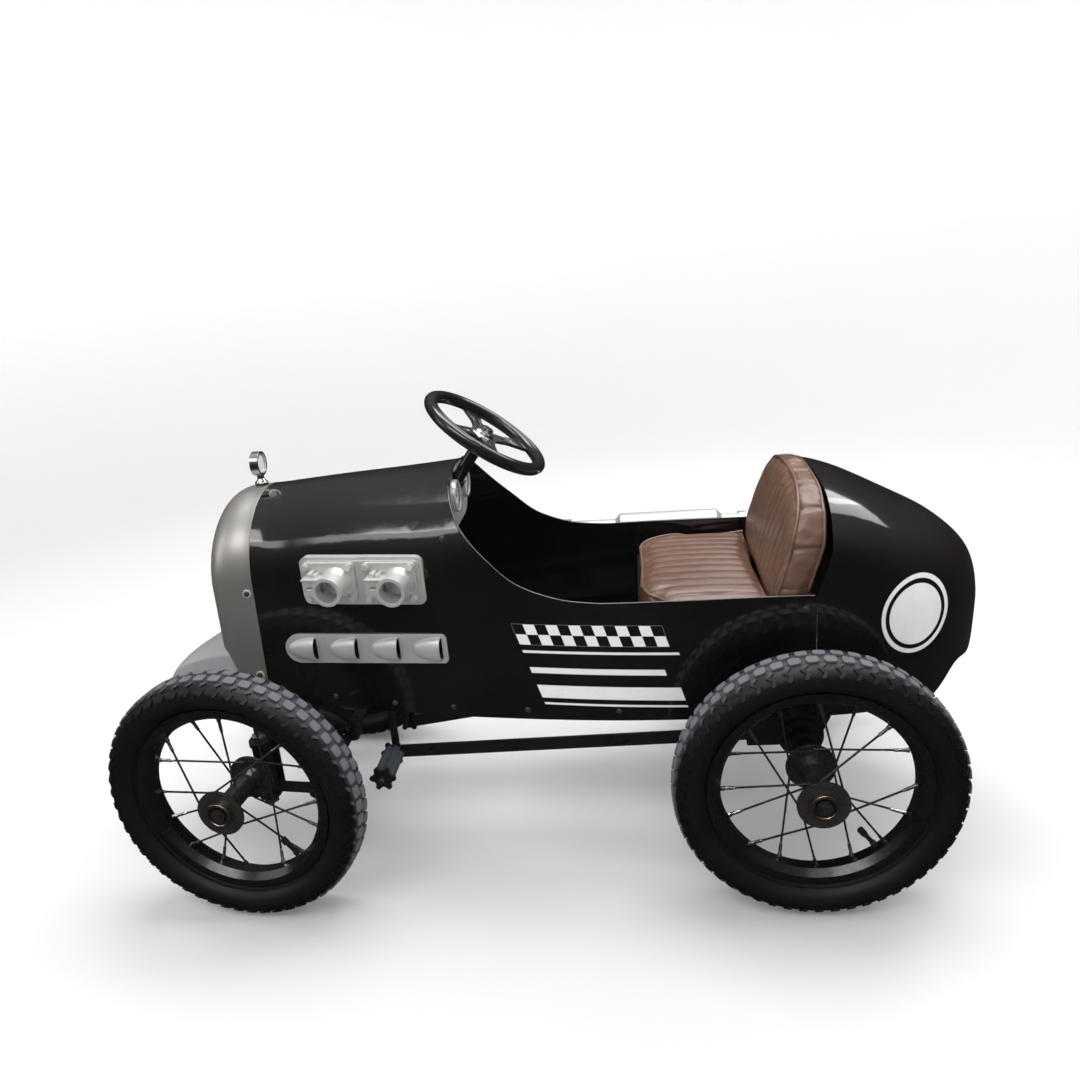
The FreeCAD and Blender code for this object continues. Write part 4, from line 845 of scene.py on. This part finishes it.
def build_gauges(silver, black):
    """Two round gauges: cup, bright rim, dial, marks with a needle, and a thin lens."""
    low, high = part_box("gauge_bezels")
    cups = Build()
    dials = Build()
    ticks = Build()
    rims = Build()
    glass = Build()
    x_back = high.x
    for side in (-1.0, 1.0):
        y, z = GAUGE_Y * side, 0.5 * (low.z + high.z)

        def place(point, y=y, z=z):
            # local y points at the driver
            return Vector((x_back - 0.008 - point.y, y + point.x, z + point.z))
        cup = [(-0.0075, 0.0160), (-0.0075, 0.0183), (0.0000, 0.0185), (0.0012, 0.0181), (0.0016, 0.0172),
               (0.0010, 0.0163), (-0.001, 0.0160)]
        cups.lathe(cup, place, 48)
        ring = [(-0.0048, 0.0184), (-0.0048, 0.0190), (0.0006, 0.0190), (0.0018, 0.0183), (0.0022, 0.0172),
                (0.0018, 0.0158), (0.0012, 0.0152), (0.0002, 0.0152), (0.0004, 0.0160), (0.0012, 0.0166)]
        rims.lathe(ring, place, 48)
        dial = [(-0.0060, 0.0), (DIAL_LEVEL, 0.0), (DIAL_LEVEL, 0.0158), (-0.0060, 0.0158)]
        dials.lathe(dial, place, 48, closed=False)
        for k in range(11):
            a = math.radians(-40.0 + 26.0 * k)
            long = 0.0030 if k % 2 == 0 else 0.0018
            c, s = math.cos(a), math.sin(a)
            r0, r1, w = 0.0140, 0.0140 - long, 0.00035
            quad = [(r0 * c - w * s, r0 * s + w * c), (r0 * c + w * s, r0 * s - w * c),
                    (r1 * c + w * s, r1 * s - w * c), (r1 * c - w * s, r1 * s + w * c)]
            ticks.prism(quad, 0.0002, lambda u, v, h, place=place: place(Vector((u, DIAL_LEVEL + h, v))))
        a = math.radians(128.0 if side > 0 else 64.0)
        c, s = math.cos(a), math.sin(a)
        needle = [(-0.0025 * c - 0.0006 * s, -0.0025 * s + 0.0006 * c),
                  (-0.0025 * c + 0.0006 * s, -0.0025 * s - 0.0006 * c), (0.0115 * c, 0.0115 * s)]
        ticks.prism(needle, 0.0005, lambda u, v, h, place=place: place(Vector((u, -0.0008 + h, v))))
        knob = [(-0.0010, 0.0), (-0.0010, 0.0017), (0.0000, 0.0015), (0.0003, 0.0)]
        ticks.lathe(knob, place, 20, closed=False)
        lens = [(0.0000, 0.0153)] + [(0.0012 * math.cos(t), 0.0153 * math.sin(t))
                                     for t in np.linspace(1.3, 0.0, 6)]
        lens += [(y0 - 0.0007, r) for y0, r in reversed(lens)]
        glass.lathe(lens, place, 40, closed=False)
    obj = dress(cups.object("gauge_cups"), black)
    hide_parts("gauge_bezels")
    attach(obj, "chassis")
    obj = dress(dials.object("gauge_dials"), dial_paint("dial_white"))
    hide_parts("gauge_faces")
    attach(obj, "chassis")
    obj = dress(ticks.object("gauge_marks"), black)
    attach(obj, "chassis")
    obj = dress(rims.object("gauge_rims"), silver)
    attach(obj, "chassis")
    clear = Paint("gauge_glass", Alpha=0.10, IOR=1.5, Specular_IOR_Level=0.6)
    clear.set(Base_Color=clear.mix(clear.noise(40.0), (0.97, 0.97, 0.97), (1.0, 1.0, 1.0)),
              Roughness=clear.span(clear.noise(90.0), 0.3, 0.7, 0.01, 0.05))
    obj = dress(glass.object("gauge_lenses"), clear)
    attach(obj, "chassis")


def build_cap_dial(face):
    """Pale domed dials on both faces of the ring on the radiator cap."""
    low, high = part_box("radiator_cap")
    middle = (low + high) / 2.0
    z_ring = high.z - CAP_RING_RADIUS
    dome = [(0.0, 0.0), (0.0012, 0.0), (0.0011, 0.0085), (0.0006, 0.0116), (0.0, 0.0117)]
    b = Build()
    for side in (-1.0, 1.0):
        offset = 0.0021 if side < 0 else 0.0031

        def place(point, side=side, offset=offset):
            return Vector((middle.x + side * (offset + point.y), middle.y + point.x, z_ring + point.z))
        b.lathe(dome, place, 40, closed=False)
    obj = dress(b.object("cap_dials"), face)
    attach(obj, "chassis")


# ------------------------------------------------------------------ pedals
def build_pedal(name, rubber, dark, silver):
    """The grooved rubber block with its end caps, and the rivet on the hanger."""
    low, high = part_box("pedal_block_" + name)
    centre = (low + high) / 2.0
    half = 0.5 * (high.y - low.y)

    def place(point):
        return Vector((centre.x + point.x, centre.y + point.y, centre.z + point.z))

    def star(count, tip, valley, spread):
        pts = []
        for k in range(count):
            for off, r in ((-spread, tip), (-0.4 * spread, tip * 1.03), (0.4 * spread, tip * 1.03),
                           (spread, tip), (0.38, valley), (0.62, valley)):
                a = 2.0 * math.pi * (k + off) / count
                pts.append((r * math.cos(a), r * math.sin(a)))
        return pts
    body = Build()
    # the rubber has a groove down the middle of each tread face
    grooved = []
    for k in range(6):
        for off, r in ((-0.20, 0.0134), (-0.07, 0.0136), (-0.045, 0.0122), (0.045, 0.0122), (0.07, 0.0136),
                       (0.20, 0.0134), (0.27, 0.0116), (0.38, 0.0112), (0.42, 0.0103), (0.58, 0.0103),
                       (0.62, 0.0112), (0.73, 0.0116)):
            a = 2.0 * math.pi * (k + off) / 6
            grooved.append((r * math.cos(a), r * math.sin(a)))
    rows = np.linspace(-half + 0.003, half - 0.003, 5)
    for y0, y1 in zip(rows[:-1], rows[1:]):
        body.prism(grooved, y1 - y0, lambda u, v, h, y0=y0: place(Vector((u, y0 + h, v))))
    obj = dress(body.object("pedal_rubber_" + name, False, None), rubber)
    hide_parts("pedal_block_" + name)
    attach(obj, "pedal_block_%s_body" % name)

    caps = Build()
    outline = star(6, 0.0160, 0.0112, 0.15)
    for y0 in (-half, half - 0.0034):
        caps.prism(outline, 0.0034, lambda u, v, h, y0=y0: place(Vector((u, y0 + h, v))), 0.0006, 0.0)
    obj = dress(caps.object("pedal_caps_" + name), dark)
    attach(obj, "pedal_block_%s_body" % name)

    side = 1.0 if name == "left" else -1.0
    nut = Build()
    hang_low, hang_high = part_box("pedal_hanger_" + name)
    end = hang_high.y if side > 0 else -hang_low.y

    def outer(point):
        return Vector((centre.x + point.x, side * (end + point.y), centre.z + point.z))
    dome = [(-0.0008, 0.0001), (-0.0008, 0.0036), (0.0010, 0.0033), (0.0018, 0.0022), (0.0020, 0.0001)]
    nut.lathe(dome, outer, 20)
    obj = dress(nut.object("pedal_rivet_" + name), silver)
    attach(obj, "pedal_" + name)


# ------------------------------------------------------------------ seat
def remeshed(node, name, inset):
    """A copy of a CAD soft solid, drawn in a little and remeshed for the simulation."""
    source = NODES[node]
    obj = link(name, source.data.copy())
    bpy.context.view_layer.objects.active = obj
    bm = bmesh.new()
    bm.from_mesh(obj.data)
    bmesh.ops.remove_doubles(bm, verts=bm.verts, dist=1e-5)
    bmesh.ops.recalc_face_normals(bm, faces=bm.faces)
    bm.to_mesh(obj.data)
    bm.free()
    modifier = obj.modifiers.new("grid", "REMESH")
    modifier.mode = "VOXEL"
    modifier.voxel_size = SEAT_VOXEL
    bake_modifiers(obj)
    put_points(obj.data, points_of(obj.data) - inset * normals_of(obj.data))
    return obj


def bake_modifiers(obj):
    graph = bpy.context.evaluated_depsgraph_get()
    graph.update()
    result = bpy.data.meshes.new_from_object(obj.evaluated_get(graph))
    obj.modifiers.clear()
    obj.data = result


def points_of(mesh):
    co = np.zeros(len(mesh.vertices) * 3, np.float32)
    mesh.vertices.foreach_get("co", co)
    return co.reshape(-1, 3).astype(float)


def normals_of(mesh):
    normals = np.zeros(len(mesh.vertices) * 3, np.float32)
    mesh.vertices.foreach_get("normal", normals)
    return normals.reshape(-1, 3)


def put_points(mesh, co):
    mesh.vertices.foreach_set("co", co.astype(np.float32).ravel())
    mesh.update()


def swell(obj, pressure, cap):
    """Puff the pad by cloth simulation, holding each point's movement under a cap."""
    start = points_of(obj.data)
    cloth = obj.modifiers.new("cloth", "CLOTH")
    cloth.settings.use_pressure = True
    cloth.settings.uniform_pressure_force = pressure
    cloth.settings.effector_weights.gravity = 0.0
    cloth.settings.quality = 5
    cloth.settings.tension_stiffness = 20.0
    cloth.settings.compression_stiffness = 20.0
    cloth.settings.shear_stiffness = 8.0
    cloth.settings.bending_stiffness = 1.0
    cloth.collision_settings.use_collision = False
    for number in range(1, 21):
        SCENE.frame_set(number)
    graph = bpy.context.evaluated_depsgraph_get()
    result = bpy.data.meshes.new_from_object(obj.evaluated_get(graph))
    end = points_of(result)
    obj.modifiers.clear()
    SCENE.frame_set(1)
    move = end - start
    reach = np.linalg.norm(move, axis=1, keepdims=True)
    move *= np.minimum(1.0, cap / np.maximum(reach, 1e-9))
    put_points(obj.data, start + move)
    smooth = obj.modifiers.new("ease", "SMOOTH")
    smooth.factor = 0.5
    smooth.iterations = 5
    fine = obj.modifiers.new("fine", "SUBSURF")
    fine.levels = 1
    fine.render_levels = 1
    bake_modifiers(obj)
    obj.data.polygons.foreach_set("use_smooth", [True] * len(obj.data.polygons))


def fit_to_box(obj, low, high):
    """Stretch the swollen pad so that it fills its own CAD box again."""
    co = points_of(obj.data)
    least, most = co.min(axis=0), co.max(axis=0)
    put_points(obj.data, np.array(low) + (co - least) * (np.array(high) - np.array(low)) / (most - least))


def channel_rise(y):
    """0 in the seams and 1 on the ribs, with a sharp valley between flat round ribs."""
    t = np.mod(y / CHANNEL, 1.0) * 2.0 - 1.0
    return np.clip(1.0 - t * t, 0.0, 1.0) ** 0.35


def soft_step(value, low, high):
    t = np.clip((value - low) / (high - low), 0.0, 1.0)
    return t * t * (3.0 - 2.0 * t)


def build_cushion(cover, piping_paint):
    low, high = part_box("seat_cushion")
    obj = remeshed("seat_cushion", "cushion_cover", 0.0026)
    swell(obj, SEAT_PRESSURE, SEAT_SWELL_CAP)
    fit_to_box(obj, low, high)
    co = points_of(obj.data)
    normals = normals_of(obj.data)
    # flat underneath, crowned on top with sewn channels from back to front
    co[:, 2] = np.maximum(co[:, 2], low.z)
    top = soft_step(normals[:, 2], 0.30, 0.85)
    middle = (low + high) / 2.0
    across = (co[:, 1] - middle.y) / (0.5 * (high.y - low.y))
    along = (co[:, 0] - middle.x) / (0.5 * (high.x - low.x))
    crown = np.clip(1.0 - across ** 2, 0, 1) * np.clip(1.0 - 0.55 * along ** 2, 0, 1)
    co[:, 2] += top * (0.0075 * crown - 0.0045)
    rise = channel_rise(co[:, 1] - middle.y + 0.5 * CHANNEL)
    co -= normals * (top * 0.0024 * (1.0 - rise))[:, None]
    co[:, 0] = np.clip(co[:, 0], low.x - 0.0005, high.x + 0.004)
    put_points(obj.data, co)
    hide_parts("seat_cushion")
    dress(obj, cover)
    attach(obj, "chassis")

    # piping round the top edge, pressed to the cover
    tree = bvh_of(obj.data)
    corner = 0.062
    half = 0.5 * (high.y - low.y)
    outline = [(low.x + 0.004, -half + 0.004), (low.x + 0.06, -half)]
    front = []
    for k in range(10):
        a = math.radians(-90.0 + 10.0 * k)
        front.append((high.x - corner * (1.0 - math.cos(a)), -half + corner * (1.0 + math.sin(a))))
    outline += front + [(x, -y) for x, y in reversed(front)]
    outline += [(low.x + 0.06, half), (low.x + 0.004, half - 0.004)]
    loop = smooth_line([(x, y + middle.y) for x, y in outline], 5)
    path = []
    for x, y in loop:
        path.append(pressed(tree, Vector((float(x), float(y), high.z - 0.0045)), 0.0008))
    b = Build()
    b.tube(ease_path(path, 4), 0.0021, 8)
    pipe = dress(b.object("cushion_piping", True, 60.0), piping_paint)
    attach(pipe, "chassis")


def ease_path(path, rounds):
    """Average each inner point with its neighbours, a few times over."""
    pts = [p.copy() for p in path]
    for _ in range(rounds):
        inner = [(a + b * 2.0 + c) / 4.0 for a, b, c in zip(pts[:-2], pts[1:-1], pts[2:])]
        pts = [pts[0]] + inner + [pts[-1]]
    return pts


def pressed(tree, target, lift):
    """The point of a cover nearest to the target, lifted a little off it."""
    place, normal = tree.find_nearest(target)[:2]
    return place + normal * lift


def build_backrest(cover, piping_paint):
    low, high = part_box("seat_back")
    obj = remeshed("seat_back", "backrest_cover", 0.0022)
    swell(obj, SEAT_PRESSURE, SEAT_SWELL_CAP)
    fit_to_box(obj, low, high)
    co = points_of(obj.data)
    normals = normals_of(obj.data)
    lean = Vector((1.0, 0.0, 0.356)).normalized()
    facing = normals @ np.array(lean)
    front = soft_step(facing, 0.45, 0.85)
    rise = channel_rise(co[:, 1] + 0.5 * CHANNEL)
    co -= normals * (front * 0.0024 * (1.0 - rise))[:, None]
    dome = np.clip(1.0 - (co[:, 1] / 0.122) ** 2, 0, 1)
    dome *= np.clip(1.0 - ((co[:, 2] - 0.385) / 0.075) ** 2, 0, 1)
    co += np.array(lean) * (front * 0.0065 * dome)[:, None]
    # gathered creases across the side band
    side = soft_step(np.abs(normals[:, 1]) + np.clip(normals[:, 2], 0, 1), 0.55, 0.95) * (1.0 - front)
    angle = np.arctan2(co[:, 2] - 0.340, np.abs(co[:, 1]))
    wave = np.abs(np.cos(angle * DART_RATE - math.pi * DART_SHIFT)) ** 60
    co -= normals * (side * 0.0016 * wave)[:, None]
    ripple = np.sin(co[:, 1] * 310.0 + co[:, 0] * 140.0) * np.sin(co[:, 2] * 260.0)
    co += normals * (side * 0.0005 * ripple)[:, None]
    co[:, 2] = np.maximum(co[:, 2], low.z)
    co[:, 1] *= 1.040
    rear = np.interp(co[:, 2], [0.347, 0.390, 0.450], [-0.3026, -0.3176, -0.3212])
    co[:, 0] = np.maximum(co[:, 0], rear - 0.0006)
    put_points(obj.data, co)
    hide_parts("seat_back")
    dress(obj, cover)
    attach(obj, "chassis")

    tree = bvh_of(obj.data)
    # outline of the front panel: where the front face meets the side band
    path = []
    for k in range(61):
        a = math.pi * k / 60.0
        c, s = math.cos(a), math.sin(a)
        y = 0.1300 * math.copysign(abs(c) ** 0.667, c)
        z = 0.348 + 0.1005 * abs(s) ** 0.667
        x = -0.2582 - (z - 0.341) / (0.450 - 0.341) * 0.0388
        path.append(pressed(tree, Vector((x + 0.002, y, z)), 0.0007))
    low_left = [Vector((-0.2560, 0.1296, z)) for z in (0.318, 0.330, 0.341)]
    low_right = [Vector((p.x, -p.y, p.z)) for p in reversed(low_left)]
    ends = [[pressed(tree, target, 0.0007) for target in group] for group in (low_left, low_right)]
    b = Build()
    b.tube(ease_path(ends[0] + path + ends[1], 4), 0.0021, 8)
    # and a second line where the band meets the tail
    rear = []
    for k in range(61):
        a = math.pi * k / 60.0
        c, s = math.cos(a), math.sin(a)
        y = 0.1312 * math.copysign(abs(c) ** 0.667, c)
        z = 0.348 + 0.1015 * abs(s) ** 0.667
        x = float(np.interp(z, [0.347, 0.390, 0.450], [-0.3020, -0.3170, -0.3206]))
        rear.append(pressed(tree, Vector((x, y, z)), 0.0006))
    b.tube(ease_path(rear, 4), 0.0018, 8)
    pipe = dress(b.object("backrest_piping", True, 60.0), piping_paint)
    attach(pipe, "chassis")


# ------------------------------------------------------------------ put it together
def main():
    add_camera()
    add_stage()

    body_paint = gloss_black("body_black", side_stripes)
    tail_paint = gloss_black("tail_black", tail_roundel)
    plain_black = gloss_black("edge_black")
    chassis_paint = frame_black("chassis_black")
    screw_paint = frame_black("screw_black", 0.02, 0.28)
    wheel_paint = rim_black("rim_black")
    spoke_paint = frame_black("spoke_black", 0.010, 0.25)
    silver = satin_silver("sheet_silver")
    pipe_silver = satin_silver("exhaust_silver", (0.66, 0.66, 0.65), 0.26, 0.38, 0.60)
    # the nose apron's silver is a lighter copy of the sheet silver: a painted reflection of the light from
    # above on its up-facing skin
    apron_silver_painted_reflection = satin_silver("apron_silver_painted_reflection", (0.62, 0.61, 0.63), 0.30, 0.42, 0.50)
    dash_silver = satin_silver("dash_silver", (0.60, 0.59, 0.57), 0.30, 0.42, 0.45)
    casting = cast_metal("cast_aluminium")
    bright = polished("bright_metal")
    steel = polished("plated_steel", (0.60, 0.60, 0.60), 0.18, 0.34)
    race_steel = polished("race_steel", (0.58, 0.50, 0.43), 0.20, 0.34)
    bolt_silver = satin_silver("bolt_silver", (0.74, 0.73, 0.71), 0.22, 0.34, 0.55)
    rubber = pedal_rubber("pedal_grey")
    wheel_black = wheel_plastic("grip_black")
    gauge_black = wheel_plastic("gauge_black_plastic")
    cushion_cover = leather("leatherette_cushion", CHANNEL)
    back_cover = leather("leatherette_back", CHANNEL, True)
    piping_cover = leather("leatherette_piping")

    paints = {}
    for paint, names in (
            (body_paint, "body_shell"), (tail_paint, "tail_shell"), (silver, "radiator_shell"),
            (apron_silver_painted_reflection, "nose_apron"), (dash_silver, "dash_panel"), (screw_paint, "body_screws"),
            (casting, "intake_backplate intake_castings louvre_panel"), (bolt_silver, "intake_bolts"),
            (pipe_silver, "exhaust_pipe exhaust_muffler"),
            (steel, "exhaust_brackets kingpins pedal_pivot_shaft"),
            (bright, "radiator_cap steering_wheel_spider steering_wheel_screws"),
            (wheel_black, "steering_wheel_rim steering_column"), (gauge_black, "gauge_bezels gauge_faces")):
        for name in names.split():
            paints[name] = paint
    for name in WHEELS:
        paints["rim_" + name] = wheel_paint
        paints["spokes_" + name] = spoke_paint
        paints["hub_" + name] = spoke_paint
    for name, node in NODES.items():
        dress(node, paints.get(name, chassis_paint))

    for name in WHEELS:
        build_tyre(name)
        build_wheel_trim(name, steel, race_steel, chassis_paint)
    cockpit_edge(plain_black)
    radiator_screws(screw_paint, bolt_silver)
    build_gauges(bolt_silver, gauge_black)
    build_cap_dial(dial_paint("cap_dial"))
    for name in ("left", "right"):
        build_pedal(name, rubber, chassis_paint, steel)
    build_cushion(cushion_cover, piping_cover)
    build_backrest(back_cover, piping_cover)

    SCENE.view_settings.view_transform = "Standard"
    SCENE.view_settings.look = "None"


main()
